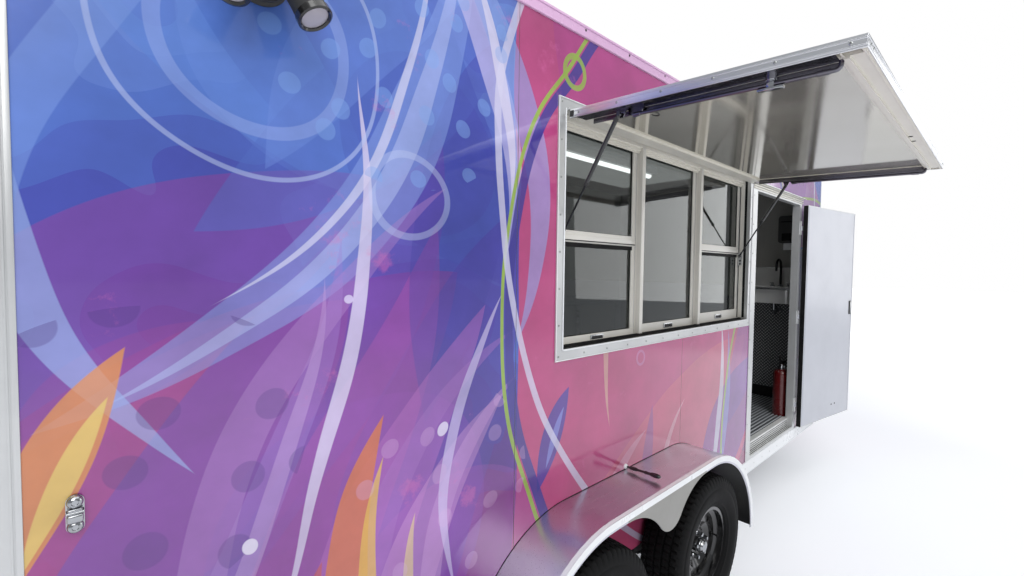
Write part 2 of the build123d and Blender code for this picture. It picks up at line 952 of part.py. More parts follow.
# Roof: a sheet with a low crown across its width
with BuildPart() as roof:
    with BuildSketch(Plane.YZ.offset(rear_x)):
        with BuildLine():
            Line((-half_width, wall_high), (half_width, wall_high))
            Line((half_width, wall_high), (half_width, wall_high + roof_thickness))
            ThreePointArc(
                (half_width, wall_high + roof_thickness),
                (0, wall_high + roof_thickness + roof_crown),
                (-half_width, wall_high + roof_thickness),
            )
            Line((-half_width, wall_high + roof_thickness), (-half_width, wall_high))
        make_face()
    extrude(amount=body_length)
write(roof, "roof")

# Top rails: folded trim around the roof's edge
rail_top = wall_high + roof_thickness
with BuildPart() as top_rails:
    for side in (-1, 1):
        with BuildSketch(Plane.YZ.offset(rear_x)):
            with BuildLine():
                Polyline(
                    (side * half_width, wall_high - top_rail_drop),
                    (side * (half_width + top_rail_sheet), wall_high - top_rail_drop),
                    (side * (half_width + top_rail_sheet), rail_top + top_rail_sheet),
                    (side * (half_width - top_rail_lip), rail_top + top_rail_sheet + top_rail_fold),
                    (side * (half_width - top_rail_lip), rail_top + top_rail_fold),
                    (side * half_width, rail_top),
                    close=True,
                )
            make_face()
        extrude(amount=body_length)
    for end_x, step in ((rear_x, -top_rail_sheet), (front_x, top_rail_sheet)):
        block(
            (min(end_x, end_x + step), -half_width + cut_over, wall_high - top_rail_drop),
            (max(end_x, end_x + step), half_width - cut_over, rail_top),
        )
write(top_rails, "top_rails")

# Bottom rails: trim along the wall's lower edge, broken by the fenders
with BuildPart() as bottom_rails:
    for side in (-1, 1):
        near_y = side * half_width
        far_y = side * (half_width + bottom_rail_sheet)
        stretches = (
            (rear_x, axle_mid - fender_half - panel_gap),
            (axle_mid + fender_half + panel_gap, front_x - front_post),
        )
        for back, ahead in stretches:
            block(
                (back, min(near_y, far_y), wall_low),
                (ahead, max(near_y, far_y), wall_low + bottom_rail_height),
            )
    block(
        (front_x, -half_width + front_post, rail_low),
        (front_x + bottom_rail_sheet, half_width - front_post, rail_low + bottom_rail_height),
    )
write(bottom_rails, "bottom_rails")

# Rear frame: the header over the doors and the sill under them
with BuildPart() as rear_frame:
    block(
        (rear_x, -post_inner, rear_open_high),
        (rear_x + rear_post_depth, post_inner, wall_high),
    )
    block(
        (rear_x, -post_inner, wall_low + rear_sill_lift),
        (rear_x + rear_post_depth, post_inner, floor_high),
    )
write(rear_frame, "rear_frame")

# Rear doors: two leaves with lock bars
for side_name, side in (("curb", -1), ("street", 1)):
    near_y = side * rear_hinge_y
    edge_y = side * (post_inner - swing_gap)
    mid_y = side * leaf_gap / 2
    strap_y = side * (post_inner - rear_strap_reach)
    strap_end_y = side * (post_inner - rear_strap_reach + rear_strap_foot)
    skin_x = rear_x + rear_skin_back
    with BuildPart() as rear_door:
        block(
            (skin_x, min(edge_y, mid_y), rear_leaf_low),
            (skin_x + wall_thickness, max(edge_y, mid_y), rear_leaf_high),
        )
        for share in rear_hinge_shares:
            knuckle_z = rear_leaf_low + (rear_leaf_high - rear_leaf_low) * share
            low_z = knuckle_z - rear_knuckle / 2
            high_z = knuckle_z + rear_knuckle / 2
            rod((rear_hinge_x, near_y, low_z), (rear_hinge_x, near_y, high_z), rear_knuckle_radius)
            block(
                (
                    rear_hinge_x - rear_hinge_sheet / 2,
                    min(near_y, strap_y),
                    low_z + rear_strap_end,
                ),
                (
                    rear_hinge_x + rear_hinge_sheet / 2,
                    max(near_y, strap_y),
                    high_z - rear_strap_end,
                ),
            )
            block(
                (rear_hinge_x, min(strap_end_y, strap_y), low_z + rear_strap_end),
                (skin_x + cut_over, max(strap_end_y, strap_y), high_z - rear_strap_end),
            )
    write(rear_door, f"rear_door_{side_name}")

    bar_x = rear_x - lock_bar_out
    bar_y = side * lock_bar_side
    handle_y = bar_y + side * lock_handle_reach
    handle_z = rear_leaf_low + lock_handle_high
    handle_x = bar_x - lock_handle_back
    with BuildPart() as lock_bar:
        rod(
            (bar_x, bar_y, rear_leaf_low - lock_bar_below),
            (bar_x, bar_y, rear_leaf_high + lock_bar_above),
            lock_bar_diameter / 2,
        )
        for share in lock_clip_shares:
            clip_z = rear_leaf_low + (rear_leaf_high - rear_leaf_low) * share
            block(
                (bar_x - lock_clip_out, bar_y - lock_clip_half, clip_z - lock_clip_tall / 2),
                (skin_x - seat_gap, bar_y + lock_clip_half, clip_z + lock_clip_tall / 2),
            )
        block(
            (handle_x, min(bar_y, handle_y), handle_z),
            (handle_x + lock_handle_sheet, max(bar_y, handle_y), handle_z + lock_handle_tall),
        )
    write(lock_bar, f"lock_bar_{side_name}")

# Fenders: a bent top with a scalloped skirt and a rolled lip
arch_sum = scallop_tip_radius + scallop_arch_radius
tip_z = fender_top - scallop_depth
arch_z = fender_top - fender_lip
arch_rise = arch_z - tip_z
arch_x = sqrt(arch_sum**2 - (arch_sum - arch_rise) ** 2)
turn_x = arch_x * scallop_tip_radius / arch_sum
turn_z = tip_z + scallop_tip_radius - (arch_sum - arch_rise) * scallop_tip_radius / arch_sum
mid_angle = 90 - degrees(asin(arch_x / arch_sum)) / 2
back_arch = (axle_mid - arch_x, arch_z - scallop_arch_radius)
ahead_arch = (axle_mid + arch_x, arch_z - scallop_arch_radius)
fender_low = fender_top - fender_radius
lip_radius = fender_radius - fender_lip


def arc_point(centre_x, centre_z, radius, angle):
    """Return the point of a circle in the XZ plane at an angle in degrees from +X."""
    return (centre_x + radius * cos(radians(angle)), centre_z + radius * sin(radians(angle)))


for side_name, side in (("curb", -1), ("street", 1)):
    wall_y = side * half_width
    lip_y = side * (half_width + fender_width)
    flat = fender_flat / 2
    left_c = (axle_mid - flat, fender_low)
    right_c = (axle_mid + flat, fender_low)
    with BuildPart() as fender:
        with BuildSketch(Plane.XZ.offset(-min(wall_y, lip_y) - fender_width)):
            with BuildLine():
                ThreePointArc(
                    arc_point(*right_c, fender_radius, 0),
                    arc_point(*right_c, fender_radius, 45),
                    arc_point(*right_c, fender_radius, 90),
                )
                Line(arc_point(*right_c, fender_radius, 90), arc_point(*left_c, fender_radius, 90))
                ThreePointArc(
                    arc_point(*left_c, fender_radius, 90),
                    arc_point(*left_c, fender_radius, 135),
                    arc_point(*left_c, fender_radius, 180),
                )
                Line(
                    arc_point(*left_c, fender_radius, 180),
                    arc_point(*left_c, fender_radius - fender_sheet, 180),
                )
                ThreePointArc(
                    arc_point(*left_c, fender_radius - fender_sheet, 180),
                    arc_point(*left_c, fender_radius - fender_sheet, 135),
                    arc_point(*left_c, fender_radius - fender_sheet, 90),
                )
                Line(
                    arc_point(*left_c, fender_radius - fender_sheet, 90),
                    arc_point(*right_c, fender_radius - fender_sheet, 90),
                )
                ThreePointArc(
                    arc_point(*right_c, fender_radius - fender_sheet, 90),
                    arc_point(*right_c, fender_radius - fender_sheet, 45),
                    arc_point(*right_c, fender_radius - fender_sheet, 0),
                )
                Line(
                    arc_point(*right_c, fender_radius - fender_sheet, 0),
                    arc_point(*right_c, fender_radius, 0),
                )
            make_face()
        extrude(amount=fender_width)
        with BuildSketch(Plane.XZ.offset(-lip_y)):
            with BuildLine():
                ThreePointArc(
                    arc_point(*right_c, fender_radius, 0),
                    arc_point(*right_c, fender_radius, 45),
                    arc_point(*right_c, fender_radius, 90),
                )
                Line(arc_point(*right_c, fender_radius, 90), arc_point(*left_c, fender_radius, 90))
                ThreePointArc(
                    arc_point(*left_c, fender_radius, 90),
                    arc_point(*left_c, fender_radius, 135),
                    arc_point(*left_c, fender_radius, 180),
                )
                Line(arc_point(*left_c, fender_radius, 180), arc_point(*left_c, lip_radius, 180))
                ThreePointArc(
                    arc_point(*left_c, lip_radius, 180),
                    arc_point(*left_c, lip_radius, 135),
                    arc_point(*left_c, lip_radius, 90),
                )
                Line(arc_point(*left_c, lip_radius, 90), (axle_mid - arch_x, arch_z))
                ThreePointArc(
                    (axle_mid - arch_x, arch_z),
                    arc_point(*back_arch, scallop_arch_radius, mid_angle),
                    (axle_mid - turn_x, turn_z),
                )
                ThreePointArc(
                    (axle_mid - turn_x, turn_z),
                    (axle_mid, tip_z),
                    (axle_mid + turn_x, turn_z),
                )
                ThreePointArc(
                    (axle_mid + turn_x, turn_z),
                    arc_point(*ahead_arch, scallop_arch_radius, 180 - mid_angle),
                    (axle_mid + arch_x, arch_z),
                )
                Line((axle_mid + arch_x, arch_z), arc_point(*right_c, lip_radius, 90))
                ThreePointArc(
                    arc_point(*right_c, lip_radius, 90),
                    arc_point(*right_c, lip_radius, 45),
                    arc_point(*right_c, lip_radius, 0),
                )
                Line(arc_point(*right_c, lip_radius, 0), arc_point(*right_c, fender_radius, 0))
            make_face()
        extrude(amount=fender_sheet if side > 0 else -fender_sheet)
    write(fender, f"fender_{side_name}")

# Serving window: a deep frame with a flange, two mullions, sashes and glass
frame_y = -half_width - window_flange_thickness
with BuildPart() as window_frame:
    block(
        (window_left - window_sleeve, frame_y, window_base - window_sleeve),
        (window_right + window_sleeve, frame_y + window_depth, window_top + window_sleeve),
    )
    block(
        (window_left - window_flange, frame_y, window_base - window_flange),
        (window_right + window_flange, -half_width, window_top + window_flange),
    )
    block(
        (window_left, frame_y - cut_over, window_base),
        (window_right, frame_y + window_depth + cut_over, window_top),
        mode=Mode.SUBTRACT,
    )
    sash_y = frame_y + window_depth - sash_depth
    for third in (-1, 1):
        bar_x = window_x + third * window_width / 6
        block(
            (bar_x - mullion_width / 2, sash_y, window_base - cut_over),
            (bar_x + mullion_width / 2, frame_y + window_depth, window_top + cut_over),
        )
    hinge_span = window_width / hinge_parts
    for number in range(0, hinge_parts, 2):
        start_x = window_left + number * hinge_span + pin_gap / 2
        end_x = start_x + hinge_span - pin_gap
        rod((start_x, hinge_y, hinge_z), (end_x, hinge_y, hinge_z), hinge_radius)
        block(
            (start_x, hinge_y, hinge_z + hinge_radius - cut_over - hinge_leaf),
            (end_x, frame_y + cut_over, hinge_z + hinge_radius - cut_over),
        )
    for end_x, step in ((window_left, 1), (window_right, -1)):
        near_x = end_x - step * cut_over
        far_x = end_x + step * pin_bracket
        block(
            (min(near_x, far_x), pin_y - pin_bracket_half, pin_z - pin_bracket_low),
            (max(near_x, far_x), pin_y + pin_bracket_half, pin_z + pin_bracket_high),
        )
        rod(
            (far_x - step * cut_over, pin_y, pin_z),
            (end_x + step * (strut_inset + strut_eye_width / 2 + pin_gap), pin_y, pin_z),
            strut_pin / 2,
        )
write(window_frame, "window_frame")

# Sashes: the outer bays have two, the middle bay one
bar_half = mullion_width / 2
bar_back_x = window_x - window_width / 6
bar_ahead_x = window_x + window_width / 6
meeting = window_base + window_height * meeting_share
sashes = []
for back, ahead in ((window_left, bar_back_x - bar_half), (bar_ahead_x + bar_half, window_right)):
    sashes.append((back, ahead, window_base, meeting))
    sashes.append((back, ahead, meeting, window_top))
sashes.append((bar_back_x + bar_half, bar_ahead_x - bar_half, window_base, window_top))
with BuildPart() as sash_frames:
    for back, ahead, low_z, high_z in sashes:
        block(
            (back + seat_gap, sash_y + sash_front, low_z + seat_gap),
            (ahead - seat_gap, sash_y + sash_front + sash_thickness, high_z - seat_gap),
        )
        block(
            (back + sash_face, sash_y, low_z + sash_face),
            (ahead - sash_face, sash_y + sash_depth, high_z - sash_face),
            mode=Mode.SUBTRACT,
        )
write(sash_frames, "sash_frames")

pane_gap = sash_face + seat_gap
pane_y = sash_y + sash_front + (sash_thickness - glass_thickness) / 2
with BuildPart() as window_glass:
    for back, ahead, low_z, high_z in sashes:
        block(
            (back + pane_gap, pane_y, low_z + pane_gap),
            (ahead - pane_gap, pane_y + glass_thickness, high_z - pane_gap),
        )
write(window_glass, "window_glass")

# Awning: a framed panel on the window's upper hinge, open and a little below level
closed_top = window_top - swing_gap - hinge_z
awning_reach = window_height - 2 * swing_gap
awning_plane = Plane(
    origin=(window_x, hinge_y, hinge_z),
    x_dir=(1, 0, 0),
    z_dir=(0, -sin(radians(awning_sag)), cos(radians(awning_sag))),
)
# In the awning's own frame, -y points away from the wall and z up out of the sheet
panel_top = awning_skin_back - awning_hinge_out
panel_low = panel_top - awning_thickness
panel_back = closed_top
panel_front = panel_back - awning_reach
awning_half = window_width / 2 - swing_gap
strut_x = window_width / 2 - strut_inset
stud_x = strut_x - strut_tube_diameter / 2 - swing_gap
groove_inner = stud_x - stud_plate - seat_gap
groove_outer = awning_half - groove_lip
with BuildPart(awning_plane) as awning_panel:
    block((-awning_half, panel_front, panel_low), (awning_half, panel_back, panel_top))
    block(
        (-awning_half + awning_border, panel_front + awning_border, panel_low - cut_over),
        (awning_half - awning_border, panel_back - awning_border, panel_low + awning_recess),
        mode=Mode.SUBTRACT,
    )
    for side in (-1, 1):
        block(
            (
                min(side * groove_inner, side * groove_outer),
                panel_front + groove_end,
                panel_low - cut_over,
            ),
            (
                max(side * groove_inner, side * groove_outer),
                panel_back - groove_end,
                panel_low + groove_depth,
            ),
            mode=Mode.SUBTRACT,
        )
    block(
        (-groove_inner, panel_front + ridge_inset, panel_low - ridge_drop),
        (groove_inner, panel_front + ridge_inset + ridge_width, panel_low + cut_over),
    )
    for number in range(1, hinge_parts, 2):
        start_x = -window_width / 2 + number * hinge_span + pin_gap / 2
        end_x = start_x + hinge_span - pin_gap
        rod((start_x, 0, 0), (end_x, 0, 0), hinge_radius)
        block((start_x, panel_back - hinge_lap, -cut_over - hinge_leaf), (end_x, 0, -cut_over))
        block(
            (start_x, panel_back - hinge_lap, panel_top - cut_over),
            (end_x, panel_back - hinge_lap + 2 * hinge_leaf, -cut_over),
        )
write(awning_panel, "awning_panel")


def awning_section(x):
    """Return the plane across the awning at x, with its own x toward the body and its y up."""
    return Plane(
        origin=awning_plane.from_local_coords((x, 0, 0)),
        x_dir=awning_plane.y_dir,
        z_dir=awning_plane.x_dir,
    )


# Side rods under the awning, with their plates, and the plates that hold the struts' studs
strut_eye_local = -(strut_low_depth + awning_hinge_out)
rod_z = panel_low - side_rod_drop
rod_x = awning_half - side_rod_inset
stud_top = panel_low + groove_depth - seat_gap
plate_top = panel_low - seat_gap
with BuildPart(awning_plane) as awning_rails:
    for side in (-1, 1):
        with BuildLine(awning_plane) as rod_path:
            Line(
                (side * rod_x, -side_rod_near, rod_z),
                (side * rod_x, -side_rod_far + side_rod_bend, rod_z),
            )
            ThreePointArc(
                (side * rod_x, -side_rod_far + side_rod_bend, rod_z),
                (
                    side * rod_x,
                    -side_rod_far + side_rod_bend * (1 - sin(radians(45))),
                    rod_z + side_rod_bend * (1 - cos(radians(45))),
                ),
                (side * rod_x, -side_rod_far, rod_z + side_rod_bend),
            )
            Line(
                (side * rod_x, -side_rod_far, rod_z + side_rod_bend),
                (side * rod_x, -side_rod_far, plate_top),
            )
        with BuildSketch(Plane(origin=rod_path.wires()[0] @ 0, z_dir=rod_path.wires()[0] % 0)):
            Circle(side_rod_diameter / 2)
        sweep(path=rod_path.wires()[0])
        with BuildSketch(awning_section(side * rod_x - rod_plate / 2)):
            with BuildLine():
                Polyline(
                    (-side_rod_near - rod_plate_long, plate_top),
                    (-side_rod_near + rod_plate_long, plate_top),
                    (-side_rod_near + rod_plate_low, rod_z - rod_plate_low),
                    (-side_rod_near - rod_plate_low, rod_z - rod_plate_low),
                    close=True,
                )
            make_face()
        extrude(amount=rod_plate)
        outer_x = side * stud_x
        inner_x = side * (stud_x - stud_plate)
        with BuildSketch(awning_section(min(outer_x, inner_x))):
            with BuildLine():
                Polyline(
                    (-strut_eye_reach - stud_plate_long, stud_top),
                    (-strut_eye_reach + stud_plate_long, stud_top),
                    (-strut_eye_reach + stud_plate_long, plate_top),
                    (-strut_eye_reach + stud_plate_low, strut_eye_local - stud_plate_low),
                    (-strut_eye_reach - stud_plate_low, strut_eye_local - stud_plate_low),
                    (-strut_eye_reach - stud_plate_long, plate_top),
                    close=True,
                )
            make_face()
        extrude(amount=stud_plate)
write(awning_rails, "awning_rails")

# Gas struts: a rod on the frame's pin, and a tube whose eye meets the awning's stud
sag_cos = cos(radians(awning_sag))
sag_sin = sin(radians(awning_sag))
eye_y = hinge_y - strut_eye_reach * sag_cos - strut_eye_local * sag_sin
eye_z_up = hinge_z - strut_eye_reach * sag_sin + strut_eye_local * sag_cos
strut_open = hypot(eye_y - pin_y, eye_z_up - pin_z)
strut_direction = (0, (eye_y - pin_y) / strut_open, (eye_z_up - pin_z) / strut_open)
tube_foot = strut_open - strut_tube_length
for place_name, side in (("rear", -1), ("front", 1)):
    strut_plane = Plane(
        origin=(window_x + side * strut_x, pin_y, pin_z),
        x_dir=(1, 0, 0),
        z_dir=strut_direction,
    )
    with BuildPart(strut_plane) as strut_rod:
        rod((0, 0, 0), (0, 0, tube_foot + strut_rod_seat), strut_rod_diameter / 2)
        rod(
            (-strut_eye_width / 2, 0, 0),
            (strut_eye_width / 2, 0, 0),
            strut_eye_diameter / 2,
        )
        rod(
            (-strut_eye_width, 0, 0),
            (strut_eye_width, 0, 0),
            strut_pin / 2 + pin_gap,
            mode=Mode.SUBTRACT,
        )
    write(strut_rod, f"strut_rod_{place_name}")

    with BuildPart(strut_plane) as strut_tube:
        rod((0, 0, tube_foot), (0, 0, strut_open - strut_tube_start), strut_tube_diameter / 2)
        rod(
            (-strut_eye_width / 2, 0, strut_open),
            (strut_eye_width / 2, 0, strut_open),
            strut_eye_diameter / 2,
        )
        rod(
            (0, 0, tube_foot - cut_over),
            (0, 0, strut_open - strut_bore_start),
            strut_rod_diameter / 2 + pin_gap,
            mode=Mode.SUBTRACT,
        )
    write(strut_tube, f"strut_tube_{place_name}")

# Side door: a frame with a flange, and a leaf that stands open
frame_left = door_left - door_frame_left
frame_right = door_right + door_frame_right
frame_top = door_top + swing_gap + door_frame_head
frame_base = door_base - swing_gap - door_frame_sill
sill_z = door_base - swing_gap
hinge_shares = (0.1, 0.5, 0.9)
with BuildPart() as door_frame:
    block(
        (door_left - door_sleeve, frame_y, sill_z - door_sleeve),
        (door_right + door_sleeve, frame_y + door_frame_depth, door_top + swing_gap + door_sleeve),
    )
    block((frame_left, frame_y, frame_base), (frame_right, -half_width, frame_top))
    block(
        (door_left, frame_y - cut_over, sill_z),
        (door_right, frame_y + door_frame_depth + cut_over, door_top + swing_gap),
        mode=Mode.SUBTRACT,
    )
    block(
        (door_left - door_sleeve - cut_over, -inner_half - seat_gap, sill_z - door_sleeve - cut_over),
        (
            door_right + door_sleeve + cut_over,
            frame_y + door_frame_depth + cut_over,
            floor_high + seat_gap,
        ),
        mode=Mode.SUBTRACT,
    )
    with BuildSketch(Plane.YZ.offset(frame_left - drip_side)):
        with BuildLine():
            Polyline(
                (frame_y, frame_top - drip_edge),
                (frame_y - drip_reach, frame_top - drip_lift + drip_edge),
                (frame_y - drip_reach, frame_top - drip_lift),
                (frame_y, frame_top - drip_lift),
                close=True,
            )
        make_face()
    extrude(amount=frame_right - frame_left + 2 * drip_side)
    for share in hinge_shares:
        middle = door_base + door_height * share
        for low_z in (middle - 1.5 * knuckle, middle + 0.5 * knuckle):
            rod(
                (door_hinge_x, door_hinge_y, low_z + pin_gap / 2),
                (door_hinge_x, door_hinge_y, low_z + knuckle - pin_gap / 2),
                knuckle_radius,
            )
            block(
                (door_hinge_x - knuckle_leaf / 2, door_hinge_y, low_z + pin_gap / 2),
                (
                    door_hinge_x + knuckle_leaf / 2,
                    frame_y + cut_over,
                    low_z + knuckle - pin_gap / 2,
                ),
            )
write(door_frame, "door_frame")

open_turn = radians(door_open_angle)
leaf_plane = Plane(
    origin=(door_hinge_x, door_hinge_y, 0),
    x_dir=(cos(open_turn), sin(open_turn), 0),
    z_dir=(0, 0, 1),
)
# In the leaf's own frame, closed is as built: -x runs to the lock and +y into the body
leaf_right = door_edge_right - door_hinge_x
leaf_left = door_edge_left - door_hinge_x
leaf_outer = door_hinge_out - door_skin_back
with BuildPart(leaf_plane) as entry_door:
    block(
        (leaf_left, leaf_outer, door_base),
        (leaf_right, leaf_outer + door_thickness, door_top),
    )
    fillet(entry_door.edges().filter_by(Axis.Z), door_corner)
    strap_x = leaf_right - knuckle_lap
    for share in hinge_shares:
        middle = door_base + door_height * share
        low_z = middle - knuckle / 2 + pin_gap / 2
        high_z = middle + knuckle / 2 - pin_gap / 2
        rod((0, 0, low_z), (0, 0, high_z), knuckle_radius)
        block((strap_x, -knuckle_leaf / 2, low_z), (0, knuckle_leaf / 2, high_z))
        block(
            (strap_x, -knuckle_leaf / 2, low_z),
            (strap_x + knuckle_leaf, leaf_outer + cut_over, high_z),
        )
write(entry_door, "entry_door")

latch_z = door_base + latch_height
leaf_inner = leaf_outer + door_thickness
with BuildPart(leaf_plane) as door_latch:
    block(
        (leaf_left + latch_edge, leaf_outer - latch_plate, latch_z - latch_plate_half),
        (leaf_left + latch_edge + latch_plate_wide, leaf_outer - seat_gap, latch_z + latch_plate_half),
    )
    block(
        (leaf_left + handle_edge, leaf_outer - handle_out, latch_z - handle_foot_low),
        (
            leaf_left + handle_edge + handle_foot_wide,
            leaf_outer - latch_plate + cut_over,
            latch_z - handle_foot_high,
        ),
    )
    block(
        (leaf_left + grip_edge, leaf_outer - grip_out, latch_z - grip_half),
        (leaf_left + grip_edge + grip_wide, leaf_outer - grip_out + grip_sheet, latch_z + grip_half),
    )
    block(
        (leaf_left + strike_edge, leaf_inner + seat_gap, latch_z - strike_half),
        (leaf_left + strike_edge + strike_wide, leaf_inner + strike_plate, latch_z + strike_half),
    )
write(door_latch, "door_latch")

# Spotlights: two heads on one round base
spot_x = rear_x + spot_from_rear
spot_z = wall_low + spot_height
spot_y = -half_width - spot_base
with BuildPart() as spotlights:
    rod((spot_x, -half_width - seat_gap, spot_z), (spot_x, spot_y, spot_z), spot_base_radius)
    for side in (-1, 1):
        neck = (spot_x + side * spot_neck_side, spot_y - spot_neck_out, spot_z - spot_neck_drop)
        neck_start = (spot_x + side * spot_neck_start, spot_y + spot_neck_sink, spot_z)
        rod(neck_start, neck, spot_neck_radius)
        back = (spot_x + side * spot_back_side, spot_y - spot_back_out, spot_z + spot_back_lift)
        tip = (spot_x + side * spot_tip_side, spot_y - spot_tip_out, spot_z - spot_tip_drop)
        rod(back, tip, spot_head_radius)
write(spotlights, "spotlights")

# Wall fittings: the catch by the rear corner and the peg over the fender
catch_x = rear_x + catch_from_rear
catch_z = wall_low + catch_height
peg_z = wall_low + peg_height
peg_y = -half_width - peg_reach
with BuildPart() as wall_fittings:
    block(
        (catch_x - catch_plate_half, -half_width - catch_plate, catch_z - catch_plate_tall),
        (catch_x + catch_plate_half, -half_width - seat_gap, catch_z + catch_plate_tall),
    )
    block(
        (catch_x - catch_half, -half_width - catch_out, catch_z - catch_tall),
        (catch_x + catch_half, -half_width - catch_plate + cut_over, catch_z + catch_tall),
    )
    rod(
        (axle_mid, -half_width - seat_gap, peg_z + peg_radius),
        (axle_mid, -half_width - peg_base, peg_z + peg_radius),
        peg_base_radius,
    )
    peg_tip = (axle_mid, peg_y, peg_z + peg_rise)
    rod((axle_mid, -half_width - peg_base + cut_over, peg_z), peg_tip, peg_radius)
    with Locations(peg_tip):
        Sphere(peg_ball)
write(wall_fittings, "wall_fittings")

# Lamps at the rear and on the front's upper corners
lamp_z = wall_low + lamp_height
header_z = wall_high - rear_header_height / 2
front_lamp_z = wall_high - 2 * lamp_tall
half_wide = lamp_wide / 2
half_tall = lamp_tall / 2
with BuildPart() as lamps:
    for side in (-1, 1):
        with BuildSketch(Plane.YZ.offset(rear_x - lamp_out)):
            with Locations((side * (post_inner - tail_lamp_inset), lamp_z)):
                SlotOverall(tail_lamp_wide, tail_lamp_tall)
        extrude(amount=lamp_out - seat_gap)
        front_y = side * (half_width - front_lamp_inset)
        block(
            (front_x + seat_gap, front_y - half_wide, front_lamp_z - half_tall),
            (front_x + lamp_out, front_y + half_wide, front_lamp_z + half_tall),
        )
    far_y = post_inner - side_lamp_inset
    for middle in (-far_y, -lamp_spacing, 0, lamp_spacing, far_y):
        block(
            (rear_x - lamp_out, middle - half_wide, header_z - half_tall),
            (rear_x - seat_gap, middle + half_wide, header_z + half_tall),
        )
write(lamps, "lamps")

# Inside: a hand sink hung on the front wall, by the serving side, with its splash sheet and tap
sink_back = frame_front - seat_gap
sink_y = -inner_half + sink_side_gap + sink_width / 2
sink_x = sink_back - sink_deep / 2
sink_high = floor_high + sink_height
tap_x = sink_back - tap_setback
tap_high = sink_high + tap_rise - tap_bend
with BuildPart() as hand_sink:
    block(
        (sink_back - sink_deep, sink_y - sink_width / 2, sink_high - sink_rim),
        (sink_back, sink_y + sink_width / 2, sink_high),
    )
    with BuildSketch(Plane.XY.offset(sink_high - sink_rim + cut_over)):
        with Locations((sink_x, sink_y)):
            RectangleRounded(
                sink_deep - 2 * (sink_bowl_inset - sink_shell),
                sink_width - 2 * (sink_bowl_inset - sink_shell),
                sink_corner,
            )
    extrude(amount=-sink_bowl_depth, taper=sink_taper)
    with BuildSketch(Plane.XY.offset(sink_high)):
        with Locations((sink_x, sink_y)):
            RectangleRounded(
                sink_deep - 2 * sink_bowl_inset,
                sink_width - 2 * sink_bowl_inset,
                sink_corner - sink_shell,
            )
    extrude(amount=-sink_bowl_depth, taper=sink_taper, mode=Mode.SUBTRACT)
    block(
        (sink_back - splash_sheet, sink_y - sink_width / 2, sink_high - cut_over),
        (sink_back, sink_y + sink_width / 2, sink_high + splash_high),
    )
    with BuildLine() as tap_path:
        Line((tap_x, sink_y, sink_high - cut_over), (tap_x, sink_y, tap_high))
        ThreePointArc(
            (tap_x, sink_y, tap_high),
            (tap_x - tap_bend, sink_y, tap_high + tap_bend),
            (tap_x - 2 * tap_bend, sink_y, tap_high),
        )
        Line((tap_x - 2 * tap_bend, sink_y, tap_high), (tap_x - 2 * tap_bend, sink_y, tap_high - tap_drop))
    with BuildSketch(Plane(origin=tap_path.wires()[0] @ 0, z_dir=tap_path.wires()[0] % 0)):
        Circle(tap_radius)
    sweep(path=tap_path.wires()[0])
write(hand_sink, "hand_sink")

# Dispenser on the front wall above the sink
dispenser_y = -inner_half + dispenser_side_gap + dispenser_width / 2
dispenser_z = floor_high + dispenser_height + dispenser_high / 2
with BuildPart() as dispenser:
    with BuildSketch(Plane.YZ.offset(sink_back - dispenser_deep)):
        with Locations((dispenser_y, dispenser_z)):
            RectangleRounded(dispenser_width, dispenser_high, dispenser_corner)
    extrude(amount=dispenser_deep)
write(dispenser, "dispenser")

# Work counter along the street side, on four legs with a low shelf
counter_x = rear_x + counter_from_rear
counter_y = inner_half - seat_gap - counter_deep
counter_high = floor_high + counter_height
counter_end_x = counter_x + counter_length
with BuildPart() as work_counter:
    block(
        (counter_x, counter_y, counter_high - counter_top),
        (counter_end_x, inner_half - seat_gap, counter_high),
    )
    block(
        (counter_x + counter_leg_inset, counter_y + counter_leg_inset, floor_high + counter_shelf_height),
        (
            counter_end_x - counter_leg_inset,
            inner_half - counter_leg_inset,
            floor_high + counter_shelf_height + counter_shelf,
        ),
    )
    for leg_x in (counter_x + counter_leg_inset, counter_end_x - counter_leg_inset - counter_leg):
        for leg_y in (counter_y + counter_leg_inset, inner_half - counter_leg_inset - counter_leg):
            block(
                (leg_x, leg_y, floor_high + seat_gap),
                (leg_x + counter_leg, leg_y + counter_leg, counter_high - cut_over),
            )
write(work_counter, "work_counter")

# Extinguisher on the floor, between the side door and the front wall
bottle_x = door_right + (frame_front - door_right) * bottle_share
bottle_y = -inner_half + bottle_wall_gap + bottle_radius
neck_z = floor_high + bottle_high
head_z = floor_high + bottle_head_high
with BuildPart() as extinguisher:
    rod((bottle_x, bottle_y, floor_high + seat_gap), (bottle_x, bottle_y, neck_z), bottle_radius)
    fillet(extinguisher.edges().filter_by(GeomType.CIRCLE).group_by(Axis.Z)[-1], bottle_shoulder)
    rod((bottle_x, bottle_y, neck_z - bottle_neck_radius), (bottle_x, bottle_y, head_z), bottle_neck_radius)
    block(
        (bottle_x - bottle_neck_radius, bottle_y - bottle_neck_radius / 2, head_z - cut_over),
        (bottle_x + bottle_lever_reach, bottle_y + bottle_neck_radius / 2, head_z + bottle_lever),
    )
write(extinguisher, "extinguisher")

ceiling_lamp_x = rear_x + ceiling_lamp_from_rear
with BuildPart() as ceiling_lamp:
    block(
        (ceiling_lamp_x, -ceiling_lamp_width / 2, wall_high - ceiling_lamp_deep),
        (ceiling_lamp_x + ceiling_lamp_length, ceiling_lamp_width / 2, wall_high - seat_gap),
    )
write(ceiling_lamp, "ceiling_lamp")

